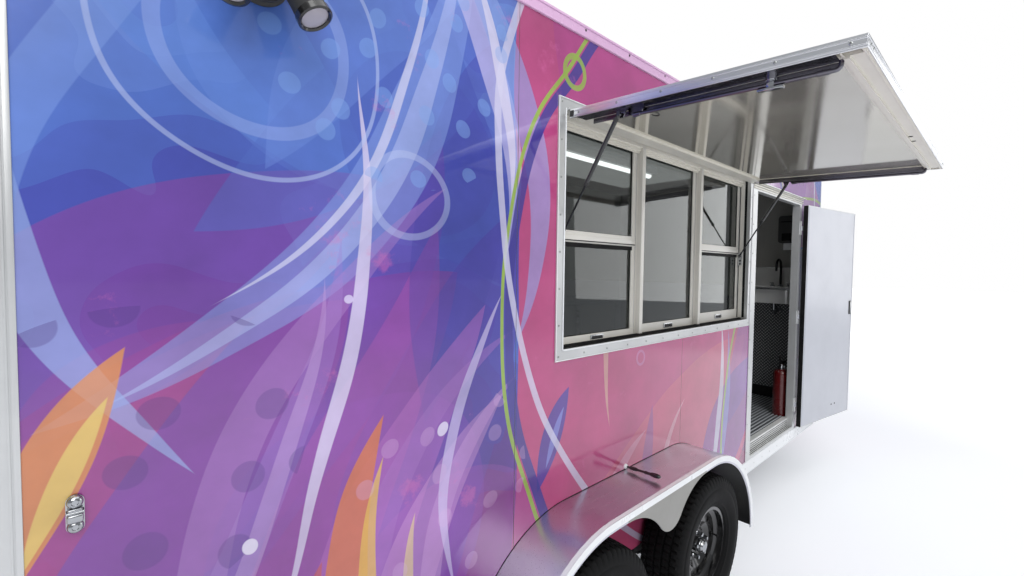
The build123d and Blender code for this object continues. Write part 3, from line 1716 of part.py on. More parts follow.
# Roof vent: a square hood over the galley
vent_x = rear_x + vent_from_rear
vent_base = rail_top + roof_crown - vent_sink
vent_plate = 2 * (vent_half + vent_flange)
with BuildPart() as roof_vent:
    with BuildSketch(Plane.XY.offset(vent_base)):
        with Locations((vent_x, 0)):
            RectangleRounded(vent_plate, vent_plate, vent_flange_corner)
    extrude(amount=vent_flange_high)
    with BuildSketch(Plane.XY.offset(vent_base + vent_flange_high - cut_over)):
        with Locations((vent_x, 0)):
            RectangleRounded(2 * vent_half, 2 * vent_half, vent_corner)
    extrude(amount=vent_high, taper=vent_taper)
    with BuildSketch(Plane.YZ.offset(vent_x - vent_plate)):
        with BuildLine():
            Line((-half_width, wall_high), (half_width, wall_high))
            Line((half_width, wall_high), (half_width, rail_top))
            ThreePointArc(
                (half_width, rail_top),
                (0, rail_top + roof_crown),
                (-half_width, rail_top),
            )
            Line((-half_width, rail_top), (-half_width, wall_high))
        make_face()
    extrude(amount=2 * vent_plate, mode=Mode.SUBTRACT)
write(roof_vent, "roof_vent")
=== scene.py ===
"""The looks of a food trailer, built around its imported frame.

Lengths are metres in the frame's own axes: +X forward, -Y to the serving side, +Z up.
"""

import json
import logging
import math
from dataclasses import dataclass, field
from enum import Enum
from typing import Sequence

import bmesh
import bpy
from mathutils import Matrix, Vector


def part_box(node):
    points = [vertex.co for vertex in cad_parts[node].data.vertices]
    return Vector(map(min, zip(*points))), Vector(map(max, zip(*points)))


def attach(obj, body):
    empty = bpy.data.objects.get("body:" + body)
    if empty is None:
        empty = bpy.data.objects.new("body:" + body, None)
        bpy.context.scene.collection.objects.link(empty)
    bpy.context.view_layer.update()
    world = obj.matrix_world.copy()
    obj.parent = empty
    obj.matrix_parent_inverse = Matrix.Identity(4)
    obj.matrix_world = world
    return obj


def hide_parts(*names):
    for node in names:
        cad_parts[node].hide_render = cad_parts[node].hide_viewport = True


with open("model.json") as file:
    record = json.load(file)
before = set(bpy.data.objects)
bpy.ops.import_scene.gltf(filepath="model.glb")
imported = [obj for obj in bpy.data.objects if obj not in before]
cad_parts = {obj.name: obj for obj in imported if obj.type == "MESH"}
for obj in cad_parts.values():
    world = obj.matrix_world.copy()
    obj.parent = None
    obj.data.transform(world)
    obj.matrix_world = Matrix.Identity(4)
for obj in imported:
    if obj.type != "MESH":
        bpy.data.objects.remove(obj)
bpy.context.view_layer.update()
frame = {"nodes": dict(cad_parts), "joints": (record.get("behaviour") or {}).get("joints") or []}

LOG = logging.getLogger("trailer")
Point = tuple[float, float, float]
Colour = tuple[float, float, float, float]


def colour(code: str) -> Colour:
    """Turn a hex colour into linear light.

    Args:
        code: the colour as six hex digits.

    Returns:
        Red, green, blue and alpha, linear.
    """
    parts = [int(code[at : at + 2], 16) / 255 for at in (0, 2, 4)]
    linear = [c / 12.92 if c <= 0.04045 else ((c + 0.055) / 1.055) ** 2.4 for c in parts]
    return (linear[0], linear[1], linear[2], 1.0)


class Value:
    """A number in a shader, whose arithmetic adds Math nodes."""

    def __init__(self, graph: "Graph", socket: bpy.types.NodeSocket) -> None:
        """Wrap a socket of a graph."""
        self.graph = graph
        self.socket = socket

    def maths(self, operation: str, *others: "float | Value", clamp: bool = False) -> "Value":
        """Add one Math node that starts from this value.

        Args:
            operation: the Math node's operation.
            others: its other inputs.
            clamp: whether the result stays between 0 and 1.

        Returns:
            The node's result.
        """
        settings = {"operation": operation, "use_clamp": clamp}
        return self.graph.value("ShaderNodeMath", settings, {0: self, **dict(enumerate(others, 1))})

    def __add__(self, other: "float | Value") -> "Value":
        """Add."""
        return self.maths("ADD", other)

    def __sub__(self, other: "float | Value") -> "Value":
        """Subtract."""
        return self.maths("SUBTRACT", other)

    def __rsub__(self, other: float) -> "Value":
        """Subtract this value from a number."""
        return self.maths("MULTIPLY_ADD", -1.0, other)

    def __mul__(self, other: "float | Value") -> "Value":
        """Multiply."""
        return self.maths("MULTIPLY", other)

    def __truediv__(self, other: "float | Value") -> "Value":
        """Divide."""
        return self.maths("DIVIDE", other)

    def __gt__(self, other: "float | Value") -> "Value":
        """Compare, as 0 or 1."""
        return self.maths("GREATER_THAN", other)

    def __abs__(self) -> "Value":
        """Drop the sign."""
        return self.maths("ABSOLUTE")

    def below(self, limit: float, edge: float) -> "Value":
        """Return 1 where this is under a limit and 0 above it, over a soft edge."""
        return self.maths("MULTIPLY_ADD", -1 / edge, limit / edge + 0.5, clamp=True)


class Graph:
    """The nodes of one material."""

    def __init__(self, name: str) -> None:
        """Start a material with a Principled shader."""
        self.material = bpy.data.materials.new(name)
        self.material.use_nodes = True
        self.tree = self.material.node_tree
        self.shader = self.tree.nodes["Principled BSDF"]
        self._coordinates: bpy.types.Node | None = None

    def node(self, kind: str, settings: dict, inputs: dict) -> bpy.types.Node:
        """Add a node.

        Args:
            kind: the node's type.
            settings: its properties, or the stops of a ramp.
            inputs: the value or link of each input, by name or number.

        Returns:
            The new node.
        """
        made = self.tree.nodes.new(kind)
        for key, setting in settings.items():
            if key == "stops":
                self._set_stops(made.color_ramp, setting)
            elif key == "interpolation":
                made.color_ramp.interpolation = setting
            else:
                setattr(made, key, setting)
        for key, given in inputs.items():
            self.put(made.inputs[key], given)
        return made

    def put(self, socket: bpy.types.NodeSocket, given: object) -> None:
        """Link or set one input socket."""
        if isinstance(given, Value):
            self.tree.links.new(given.socket, socket)
        elif isinstance(given, bpy.types.NodeSocket):
            self.tree.links.new(given, socket)
        else:
            socket.default_value = given

    @staticmethod
    def _set_stops(ramp: bpy.types.ColorRamp, stops: Sequence[tuple[float, Colour]]) -> None:
        """Give a ramp its stops."""
        while len(ramp.elements) > 1:
            ramp.elements.remove(ramp.elements[-1])
        ramp.elements[0].position, ramp.elements[0].color = stops[0]
        for position, shade in stops[1:]:
            ramp.elements.new(position).color = shade

    def value(self, kind: str, settings: dict, inputs: dict) -> Value:
        """Add a node and return its first output as a number."""
        return Value(self, self.node(kind, settings, inputs).outputs[0])

    def place(self) -> bpy.types.NodeSocket:
        """Return the surface point in the piece's own frame."""
        if self._coordinates is None:
            self._coordinates = self.node("ShaderNodeTexCoord", {}, {})
        return self._coordinates.outputs["Object"]

    def facing(self) -> tuple[Value, Value, Value]:
        """Return the surface normal in the piece's own frame."""
        self.place()
        return self.split(self._coordinates.outputs["Normal"])

    def split(self, vector: bpy.types.NodeSocket) -> tuple[Value, Value, Value]:
        """Return the three parts of a vector."""
        made = self.node("ShaderNodeSeparateXYZ", {}, {0: vector})
        return Value(self, made.outputs[0]), Value(self, made.outputs[1]), Value(self, made.outputs[2])

    def join(self, x: object, y: object, z: object = 0.0) -> bpy.types.NodeSocket:
        """Return a vector of three parts."""
        return self.node("ShaderNodeCombineXYZ", {}, {0: x, 1: y, 2: z}).outputs[0]

    def stretched(self, factors: Point) -> bpy.types.NodeSocket:
        """Return the surface point with each part multiplied."""
        return self.node("ShaderNodeVectorMath", {"operation": "MULTIPLY"}, {0: self.place(), 1: factors}).outputs[0]

    def noise(
        self,
        scale: float,
        detail: float = 3.0,
        at: bpy.types.NodeSocket | None = None,
        rough: float = 0.55,
    ) -> Value:
        """Return smooth noise about 0.5 over the surface."""
        start = self.place() if at is None else at
        inputs = {"Vector": start, "Scale": scale, "Detail": detail, "Roughness": rough}
        return self.value("ShaderNodeTexNoise", {}, inputs)

    def mix(self, factor: object, first: object, second: object) -> bpy.types.NodeSocket:
        """Return a colour between two colours."""
        made = self.node("ShaderNodeMix", {"data_type": "RGBA"}, {0: factor, 6: first, 7: second})
        return made.outputs[2]

    def between(self, low: float, high: float, share: Value) -> Value:
        """Return a number that goes from low to high as share goes from 0 to 1."""
        return share.maths("MULTIPLY_ADD", high - low, low)

    def bump(self, height: Value, depth: float) -> bpy.types.NodeSocket:
        """Return a normal that follows a height between 0 and 1, depth metres deep."""
        inputs = {"Strength": 1.0, "Distance": depth, "Height": height}
        return self.node("ShaderNodeBump", {}, inputs).outputs[0]

    def set(self, **inputs: object) -> None:
        """Set inputs of the Principled shader, named with _ for spaces."""
        for key, given in inputs.items():
            self.put(self.shader.inputs[key.replace("_", " ")], given)


@dataclass(frozen=True)
class Finish:
    """A surface finish, which makes its material once."""

    name: str

    def material(self) -> bpy.types.Material:
        """Return the finish's material."""
        found = bpy.data.materials.get(self.name)
        if found:
            return found
        graph = Graph(self.name)
        self.dress(graph)
        return graph.material

    def dress(self, graph: Graph) -> None:
        """Build the finish's nodes."""
        raise NotImplementedError


@dataclass(frozen=True)
class Enamel(Finish):
    """Paint or plastic with a fine skin, a little dust and uneven gloss."""

    base: str = "ffffff"
    dust: str = "8f8a82"
    dusty: float = 0.25
    gloss: float = 0.3
    coat: float = 0.0
    skin: float = 0.00006
    grain: float = 700.0

    def dress(self, graph: Graph) -> None:
        """Build the finish's nodes."""
        patches = graph.noise(5.5, 6.0, rough=0.62)
        specks = graph.noise(90.0, 4.0)
        soil = (patches - 0.42).maths("MULTIPLY", 3.0, clamp=True) * specks * self.dusty
        graph.set(
            Base_Color=graph.mix(soil, colour(self.base), colour(self.dust)),
            Roughness=graph.between(self.gloss * 0.8, self.gloss * 1.25, patches) + soil * 0.3,
            Coat_Weight=self.coat,
            Coat_Roughness=0.05,
            Normal=graph.bump(graph.noise(self.grain, 2.0), self.skin),
        )


@dataclass(frozen=True)
class Metal(Finish):
    """Rolled, drawn or polished metal with streaks along one direction."""

    base: str = "c8cacd"
    gloss: float = 0.28
    spread: float = 0.12
    streak: Point = (1.0, 60.0, 60.0)
    wave: float = 0.0
    tarnish: str = "8d8f92"
    metallic: float = 1.0

    def dress(self, graph: Graph) -> None:
        """Build the finish's nodes."""
        lines = graph.noise(9.0, 5.0, graph.stretched(self.streak), 0.7)
        clouds = graph.noise(3.2, 5.0)
        dull = (clouds - 0.4).maths("MULTIPLY", 1.6, clamp=True)
        height = lines * 0.12
        if self.wave:
            height = height + graph.noise(2.3, 1.0) * self.wave
        graph.set(
            Base_Color=graph.mix(dull, colour(self.base), colour(self.tarnish)),
            Metallic=self.metallic,
            Roughness=graph.between(self.gloss - self.spread / 2, self.gloss + self.spread, lines),
            Normal=graph.bump(height, 0.0006),
        )


@dataclass(frozen=True)
class Rubber(Finish):
    """Tyre rubber or gasket, with dust in its pores."""

    base: str = "17171a"
    dust: str = "5d5a55"
    dusty: float = 0.35

    def dress(self, graph: Graph) -> None:
        """Build the finish's nodes."""
        clouds = graph.noise(7.0, 6.0, rough=0.65)
        pores = graph.noise(420.0, 3.0)
        soil = (clouds - 0.4).maths("MULTIPLY", 2.2, clamp=True) * self.dusty
        graph.set(
            Base_Color=graph.mix(soil, colour(self.base), colour(self.dust)),
            Roughness=graph.between(0.55, 0.85, clouds),
            Specular_IOR_Level=0.16,
            Normal=graph.bump(pores, 0.00025),
        )


@dataclass(frozen=True)
class Pane(Finish):
    """Clear or tinted sheet glass, with faint smears in its gloss."""

    tint: str = "e4ece9"
    smear: float = 0.03

    def dress(self, graph: Graph) -> None:
        """Build the finish's nodes."""
        graph.set(
            Base_Color=colour(self.tint),
            Roughness=graph.between(0.0, self.smear, graph.noise(4.0, 5.0)),
            Transmission_Weight=1.0,
            IOR=1.45,
        )


@dataclass(frozen=True)
class Glow(Finish):
    """A lit diffuser."""

    base: str = "ffffff"
    power: float = 3.0

    def dress(self, graph: Graph) -> None:
        """Build the finish's nodes."""
        graph.set(
            Base_Color=graph.mix(graph.noise(30.0), colour(self.base), colour("eef2ff")),
            Roughness=0.35,
            Emission_Color=colour(self.base),
            Emission_Strength=self.power,
        )


@dataclass(frozen=True)
class Motif:
    """One shape of the print, given in metres along and up the wall."""

    shade: str
    cover: float

    def mask(self, graph: Graph, at: bpy.types.NodeSocket) -> Value:
        """Return 1 inside the shape and 0 outside it."""
        raise NotImplementedError


PRINT_EDGE = 0.0022


def away(graph: Graph, at: bpy.types.NodeSocket, centre: tuple[float, float]) -> Value:
    """Return how far a point of the print is from a centre."""
    inputs = {0: at, 1: (centre[0], centre[1], 0.0)}
    made = graph.node("ShaderNodeVectorMath", {"operation": "DISTANCE"}, inputs)
    return Value(graph, made.outputs["Value"])


@dataclass(frozen=True)
class Bubble(Motif):
    """A filled circle, or a ring where a width is given."""

    centre: tuple[float, float]
    radius: float
    width: float = 0.0

    def mask(self, graph: Graph, at: bpy.types.NodeSocket) -> Value:
        """Return 1 inside the shape and 0 outside it."""
        reach = away(graph, at, self.centre)
        if not self.width:
            return reach.below(self.radius, PRINT_EDGE)
        return abs(reach - self.radius).below(self.width / 2, PRINT_EDGE)


@dataclass(frozen=True)
class Blade(Motif):
    """A leaf or a crescent between two arcs that share their ends."""

    start: tuple[float, float]
    end: tuple[float, float]
    outer: float
    inner: float

    def arc(self, bulge: float) -> tuple[tuple[float, float], float]:
        """Return the centre and radius of the arc with that bulge to the left of the chord."""
        first, last = Vector(self.start), Vector(self.end)
        half = (last - first).length / 2
        radius = (half * half + bulge * bulge) / (2 * abs(bulge))
        side = Vector((first.y - last.y, last.x - first.x)).normalized()
        middle = (first + last) / 2 + side * (bulge - math.copysign(radius, bulge))
        return (middle.x, middle.y), radius

    def mask(self, graph: Graph, at: bpy.types.NodeSocket) -> Value:
        """Return 1 inside the shape and 0 outside it."""
        centre, radius = self.arc(self.outer)
        near = away(graph, at, centre).below(radius, PRINT_EDGE)
        centre, radius = self.arc(self.inner)
        far = away(graph, at, centre).below(radius, PRINT_EDGE)
        if self.outer * self.inner > 0:
            far = 1 - far
        return near * far


@dataclass(frozen=True)
class Dots(Motif):
    """A field of small dots of uneven size inside a soft round patch."""

    centre: tuple[float, float]
    radius: float
    pitch: float
    size: float

    def mask(self, graph: Graph, at: bpy.types.NodeSocket) -> Value:
        """Return 1 inside the shape and 0 outside it."""
        inputs = {"Vector": at, "Scale": 1 / self.pitch, "Randomness": 0.75}
        cells = graph.node("ShaderNodeTexVoronoi", {"voronoi_dimensions": "2D"}, inputs)
        near = Value(graph, cells.outputs["Distance"])
        patch = away(graph, at, self.centre).below(self.radius, self.radius * 0.8)
        return near.maths("MULTIPLY_ADD", -1.0, self.size).maths("MULTIPLY", 60.0, clamp=True) * (patch > 0.5)


class Side(Enum):
    """Which way a printed panel faces, and how the print runs on it."""

    CURB = "curb"
    STREET = "street"
    FRONT = "front"
    REAR = "rear"


PRINT_GROUND = (
    (0.00, "4a1068"),
    (0.12, "741673"),
    (0.24, "931862"),
    (0.36, "6a1c84"),
    (0.48, "4d2a9e"),
    (0.60, "4348b4"),
    (0.74, "4d6fca"),
    (0.88, "6587d8"),
    (1.00, "5468c6"),
)

PRINT_MOTIFS: tuple[Motif, ...] = (
    Blade("8e2f8f", 0.7, (-0.35, 0.15), (0.95, 1.35), 0.42, -0.3),
    Blade("b23a86", 0.62, (-0.2, 0.55), (0.62, 1.3), 0.2, -0.24),
    Blade("3c52b6", 0.7, (0.1, 2.6), (1.2, 1.3), 0.34, -0.3),
    Blade("5b86dc", 0.55, (-0.1, 2.35), (0.7, 1.55), 0.16, -0.18),
    Blade("4a35a4", 0.65, (0.62, -0.1), (1.22, 1.6), 0.3, -0.2),
    Blade("c4457f", 0.95, (1.23, -0.4), (1.23, 2.7), -2.4, 0.001),
    Blade("b5408e", 0.7, (1.4, 2.6), (2.6, 1.2), 0.5, -0.4),
    Blade("d05c7e", 0.7, (1.15, -0.15), (3.3, 0.95), -0.55, 0.3),
    Blade("cf6a9a", 0.55, (2.3, 2.6), (5.2, 1.7), 0.5, -0.45),
    Blade("8d3fa8", 0.55, (3.0, 0.4), (4.6, 2.45), 0.3, -0.35),
    Blade("5a3aa8", 0.6, (2.6, -0.1), (3.6, 0.8), 0.3, -0.22),
    Bubble("7a39b4", 0.4, (0.7, 0.62), 0.4),
    Bubble("9a44b0", 0.35, (0.98, 0.3), 0.42),
    Bubble("6f93e4", 0.28, (0.6, 1.92), 0.34),
    Bubble("3f46ac", 0.45, (0.86, 1.72), 0.26),
    Bubble("a23b96", 0.35, (0.3, 0.98), 0.28),
    Blade("6a3fb0", 0.6, (-0.1, 0.4), (0.92, 1.8), -0.3, 0.1),
    Blade("8f3a9e", 0.5, (-0.3, 0.95), (0.7, 1.62), -0.16, 0.2),
    Blade("a845a8", 0.45, (0.05, -0.1), (0.88, 1.5), -0.26, 0.04),
    Blade("4f6cc8", 0.5, (0.3, 1.45), (1.22, 2.2), 0.16, -0.16),
    Blade("6f90e0", 0.4, (0.42, 1.6), (1.2, 2.5), 0.22, -0.06),
    Blade("3f3aa6", 0.45, (0.86, 0.9), (1.22, 2.2), 0.22, -0.12),
    Blade("c06cc6", 0.35, (0.36, -0.1), (1.06, 1.24), 0.16, -0.1),
    Blade("d79bd8", 0.32, (0.56, -0.1), (1.16, 0.92), 0.18, -0.02),
    Blade("8aa5ea", 0.45, (1.02, 2.55), (0.06, 1.06), 0.36, 0.17),
    Blade("b7c3f4", 0.5, (0.98, 2.5), (0.16, 1.1), 0.27, 0.205),
    Blade("dcdcf8", 0.65, (0.86, 2.42), (0.34, 1.3), 0.19, 0.165),
    Blade("a07ad0", 0.34, (-0.1, 0.2), (0.6, 1.46), -0.22, -0.13),
    Blade("c9a6de", 0.38, (0.0, 0.2), (0.56, 1.36), -0.17, -0.125),
    Blade("9fb6ee", 0.6, (0.1, 2.45), (0.3, 0.92), -0.26, -0.17),
    Blade("c9c2f0", 0.62, (0.56, 2.5), (1.16, 1.42), 0.34, 0.23),
    Blade("8fa9ea", 0.55, (0.72, 2.52), (1.22, 1.1), 0.4, 0.27),
    Blade("b485cc", 0.36, (0.3, 0.05), (0.92, 1.62), 0.3, 0.2),
    Blade("a86cc4", 0.36, (0.78, -0.1), (1.2, 1.14), 0.34, 0.24),
    Blade("c594d4", 0.42, (0.92, -0.1), (1.22, 0.98), 0.22, 0.14),
    Blade("e0d6f5", 0.75, (0.44, 0.48), (0.66, 1.86), -0.1, -0.062),
    Blade("d3c6f2", 0.6, (0.98, 0.36), (1.14, 1.28), 0.11, 0.07),
    Blade("7fa0e8", 0.45, (0.02, 1.2), (0.52, 2.3), 0.2, 0.12),
    Blade("e7e0f7", 0.7, (1.02, 2.36), (1.19, 1.6), 0.1, 0.055),
    Blade("d8702f", 0.85, (0.6, -0.06), (0.72, 0.96), 0.115, -0.01),
    Blade("e6b548", 0.8, (0.66, 0.02), (0.73, 0.84), 0.055, -0.002),
    Blade("c74a4a", 0.75, (0.42, -0.08), (0.56, 0.62), 0.105, -0.015),
    Blade("e2913d", 0.8, (-0.02, 0.7), (0.2, 1.22), 0.07, -0.035),
    Blade("ecd070", 0.75, (0.04, 0.8), (0.17, 1.12), 0.028, -0.012),
    Blade("d98a58", 0.6, (0.08, -0.05), (0.26, 0.4), 0.08, -0.02),
    Blade("e9cf84", 0.6, (0.8, 0.2), (0.85, 0.66), 0.045, 0.006),
    Blade("4434a0", 0.9, (1.34, 0.52), (1.52, 0.92), 0.07, -0.04),
    Blade("8a8fe0", 0.7, (1.38, 0.6), (1.49, 0.84), 0.022, -0.012),
    Blade("6b3f9f", 0.5, (2.02, 0.2), (2.16, 0.72), -0.06, 0.035),
    Blade("e3a4c4", 0.45, (1.6, -0.1), (2.1, 0.62), 0.16, 0.09),
    Blade("eec6d6", 0.45, (2.2, -0.1), (2.5, 0.7), 0.15, 0.1),
    Blade("dfe0f4", 0.7, (2.72, -0.1), (2.96, 1.06), -0.14, -0.08),
    Blade("8f9fe2", 0.6, (2.86, -0.1), (3.06, 1.0), -0.12, -0.05),
    Blade("ecd6b0", 0.4, (1.8, 0.7), (1.96, 2.0), 0.12, 0.07),
    Bubble("9dbb48", 0.95, (2.66, 1.2), 1.52, 0.016),
    Bubble("3a3196", 0.92, (2.66, 1.2), 1.485, 0.04),
    Bubble("9dbb48", 0.9, (4.72, 0.3), 1.72, 0.022),
    Bubble("dcd8f4", 0.75, (2.98, 1.7), 1.84, 0.03),
    Bubble("9dbb48", 0.85, (1.52, 2.16), 0.055, 0.02),
    Bubble("b7cf6b", 0.8, (2.62, 2.38), 0.06, 0.02),
    Bubble("b9c8f6", 0.55, (0.42, 1.88), 0.3, 0.01),
    Bubble("9fb4f0", 0.4, (0.42, 1.88), 0.2, 0.03),
    Bubble("c9d4fa", 0.35, (0.8, 1.58), 0.12, 0.02),
    Dots("86aef0", 0.4, (0.8, 2.02), 0.42, 0.135, 0.2),
    Dots("4a2383", 0.4, (0.22, 0.98), 0.32, 0.17, 0.22),
    Dots("dcb0e2", 0.25, (0.95, 0.66), 0.32, 0.17, 0.16),
    Bubble("ece4fa", 0.9, (0.4, 0.72), 0.017),
    Bubble("eecf52", 0.9, (0.86, 0.4), 0.013),
    Bubble("e6dcf8", 0.85, (0.93, 0.86), 0.02),
    Bubble("e2a83e", 0.85, (0.12, 0.42), 0.02),
    Bubble("dcd0f4", 0.8, (0.62, 1.3), 0.012),
    Bubble("e9b7d3", 0.8, (1.62, 0.36), 0.014),
    Bubble("c873ac", 0.8, (2.05, 0.95), 0.032, 0.012),
)

PRINT_STEPS = 16.0
PRINT_RISE = 0.30
PRINT_SWELL = 0.90
PRINT_START = 0.16
PRINT_WANDER = 0.16
PRINT_SHIFTS = {Side.STREET: 4.6, Side.FRONT: 3.0, Side.REAR: 1.2}


@dataclass(frozen=True)
class Print(Finish):
    """Glossy printed film on the outer faces, with the pale lining on the inner ones."""

    side: Side = Side.CURB
    start: float = 0.0
    low: float = 0.0

    def run(self, graph: Graph) -> tuple[Value, Value, Value]:
        """Return the distance along the print, the height, and which faces carry it."""
        x, y, z = graph.split(graph.place())
        nx, ny, _ = graph.facing()
        up = z - self.low
        if self.side is Side.CURB:
            return x - self.start, up, ny * -1.0 > 0.5
        shift = PRINT_SHIFTS[self.side]
        if self.side is Side.STREET:
            return self.start + shift - x, up, ny > 0.5
        if self.side is Side.FRONT:
            return y + shift, up, nx > 0.5
        return shift - y, up, nx * -1.0 > 0.5

    def dress(self, graph: Graph) -> None:
        """Build the finish's nodes."""
        along, up, outside = self.run(graph)
        flat = graph.join(along, up)
        drift = graph.node("ShaderNodeTexNoise", {}, {"Vector": flat, "Scale": 1.15, "Detail": 1.0})
        shift = graph.node(
            "ShaderNodeVectorMath",
            {"operation": "MULTIPLY_ADD"},
            {0: drift.outputs["Color"], 1: (PRINT_WANDER, PRINT_WANDER, 0.0), 2: flat},
        )
        moved = graph.node(
            "ShaderNodeVectorMath",
            {"operation": "SUBTRACT"},
            {0: shift.outputs[0], 1: (PRINT_WANDER / 2, PRINT_WANDER / 2, 0.0)},
        ).outputs[0]
        swell = graph.noise(1.5, 2.0, moved)
        level = up * PRINT_RISE + swell * PRINT_SWELL - along * 0.015
        level = (level - PRINT_START).maths("MULTIPLY", 0.98, clamp=True)
        stops = [(position, colour(code)) for position, code in PRINT_GROUND]
        steps = level.maths("SNAP", 1 / PRINT_STEPS)
        ground = graph.node("ShaderNodeValToRGB", {"interpolation": "LINEAR", "stops": stops}, {0: steps})
        paint = ground.outputs[0]
        for motif in PRINT_MOTIFS:
            paint = graph.mix(motif.mask(graph, moved) * motif.cover, paint, colour(motif.shade))
        wash = graph.noise(2.4, 5.0, flat, 0.6).maths("MULTIPLY_ADD", 0.76, 0.42)
        paint = graph.node("ShaderNodeVectorMath", {"operation": "SCALE"}, {0: paint, "Scale": wash}).outputs[0]
        wear = graph.noise(7.0, 8.0, flat, 0.72)
        patch = graph.noise(2.2, 2.0, flat)
        blots = (wear * patch).maths("MULTIPLY_ADD", 16.0, -5.6, clamp=True) * 0.30
        paint = graph.mix(blots, paint, colour("d765a8"))
        gloss = graph.noise(3.0, 5.0)
        lining = colour("898883")
        ripple = graph.noise(1.4, 1.0) + graph.noise(240.0, 2.0) * 0.0012
        graph.set(
            Base_Color=graph.mix(outside, lining, paint),
            Roughness=graph.between(0.16, 0.30, gloss) + (1 - outside) * 0.15,
            Coat_Weight=outside * 0.85,
            Coat_Roughness=0.04,
            Normal=graph.bump(ripple, 0.006),
        )


class Slot(Enum):
    """The record's material slots that new pieces take their finish from."""

    TRIM = "trim"
    TOP = "top_trim"
    CHASSIS = "chassis_black"
    ZINC = "zinc"
    TYRE = "tyre"
    FENDER = "fender_bright"
    BLACK = "black_plastic"
    STAINLESS = "stainless"
    DOOR = "door_white"
    LENS = "lamp_lens"
    FLOOR = "floor_sheet"
    LAMP = "lamp_white"


TRIM = Metal("trim_aluminium", "d2d3d3", 0.32, 0.12, (60.0, 60.0, 1.0), 0.0, "b4b5b5", 0.6)
SASH = Enamel("sash_enamel", "dcd9d1", "b5b2a9", 0.15, 0.30, 0.2)
SILL = Metal("sill_aluminium", "dcdddc", 0.30, 0.12, (1.0, 60.0, 60.0), 0.0, "c4c5c3", 0.15)
TRIM_LONG = Metal("trim_aluminium_long", "e4e5e8", 0.28, 0.12, (1.0, 60.0, 60.0), 0.0, "c6c8cb")
MILL = Metal("mill_sheet", "c9cbce", 0.34, 0.16, (1.0, 40.0, 40.0), 0.25, "a9abae")
MIRROR = Metal("fender_sheet", "d4d4dc", 0.27, 0.12, (1.0, 30.0, 30.0), 0.5, "b5b5bf")
LINER = Metal("liner_sheet", "dcd8cc", 0.07, 0.04, (1.0, 20.0, 20.0), 1.1, "cfcabc", 0.75)
STAINLESS = Metal("stainless_sheet", "c4c6c8", 0.24, 0.12, (50.0, 1.0, 50.0), 0.0, "a8aaac")
ROD_BLACK = Metal("rod_black", "2c2d30", 0.18, 0.08, (40.0, 40.0, 1.0), 0.0, "18191b")
RAIL_STEEL = Metal("rail_steel", "77757c", 0.20, 0.10, (1.0, 30.0, 30.0), 0.0, "504e56")
SINK_STEEL = Metal("sink_steel", "d9d9d7", 0.30, 0.12, (1.0, 50.0, 50.0), 0.0, "b9b9b6", 0.4)
CHROME = Metal("chrome", "b2b4b7", 0.09, 0.05, (8.0, 8.0, 8.0), 0.0, "8f9194")
ZINC = Metal("zinc_plate", "b3b5b3", 0.36, 0.20, (9.0, 9.0, 9.0), 0.0, "8a8c88")
# The tread plate and its lozenges are one metal: the plate is darkened as painted shade and the lozenges lightened as
# painted highlight.
TREAD_PLATE_PAINTED_SHADE = Metal("tread_plate", "5f6164", 0.34, 0.14, (14.0, 14.0, 14.0), 0.0, "4c4e51", 0.6)
LOZENGE_PAINTED_HIGHLIGHT = Metal("tread_lozenge", "dcdddf", 0.30, 0.12, (14.0, 14.0, 14.0), 0.0, "b9babc", 0.25)
WHITE = Enamel("white_enamel", "eceef0", gloss=0.28, coat=0.2, dusty=0.12)
TOP_FILM = Enamel("top_film", "dcb2d6", "b58fb0", 0.35, 0.26, 0.4)
DOOR_SKIN = Enamel("door_skin", "bfc1c9", "a3a5ab", 0.25, 0.34, 0.1, 0.00010, 420.0)
CREAM = Enamel("cream_extrusion", "ddd9cd", "b9b4a6", 0.25, 0.30, 0.1)
SOFFIT = Enamel("fender_skirt", "93928e", "75736d", 0.35, 0.42)
BLACK_ENAMEL = Enamel("chassis_enamel", "101113", "5f5a52", 0.45, 0.36)
WHEEL_ENAMEL = Enamel("wheel_enamel", "0c0c0e", "4a4743", 0.30, 0.20, 0.5)
BLACK_PLASTIC = Enamel("black_plastic", "121214", "55524d", 0.30, 0.42, 0.0, 0.00012, 900.0)
RED = Enamel("red_enamel", "57090c", "3f0f0d", 0.25, 0.26, 0.4)
# The floor deck and its ribs are one floor in two tones: the deck darkened as painted shade, the ribs lightened as
# painted highlight.
FLOOR_VINYL_PAINTED_SHADE = Enamel("floor_vinyl", "3d4044", "57544e", 0.40, 0.45)
FLOOR_RIB_PAINTED_HIGHLIGHT = Enamel("floor_rib", "a7aaae", "77746e", 0.30, 0.36)
STRUT_BLACK = Enamel("strut_enamel", "070708", "232326", 0.10, 0.24, 0.6)
SPOT_LENS = Enamel("spot_diffuser", "b4afb4", "8b878c", 0.25, 0.36)
LAMP_BODY = Enamel("lamp_body", "8f9092", "6e6d6a", 0.20, 0.40)
COVE = Rubber("cove_rubber", "151518")
TYRE = Rubber("tyre_rubber", "060607", "302e2b", 0.08)
# Black rubber of gaskets, seals and hoses; also painted shade in the door sill's gaps and in the awning's holes.
GASKET_AND_PAINTED_SHADE = Rubber("gasket_rubber", "0e0e10", dusty=0.2)
GLASS = Pane("sheet_glass", "aab1af")
RED_LENS = Enamel("red_lens", "9c1015", "5a0f10", 0.20, 0.15, 0.8)
TUBE_GLOW = Glow("tube_glow", "ffffff", 2.5)


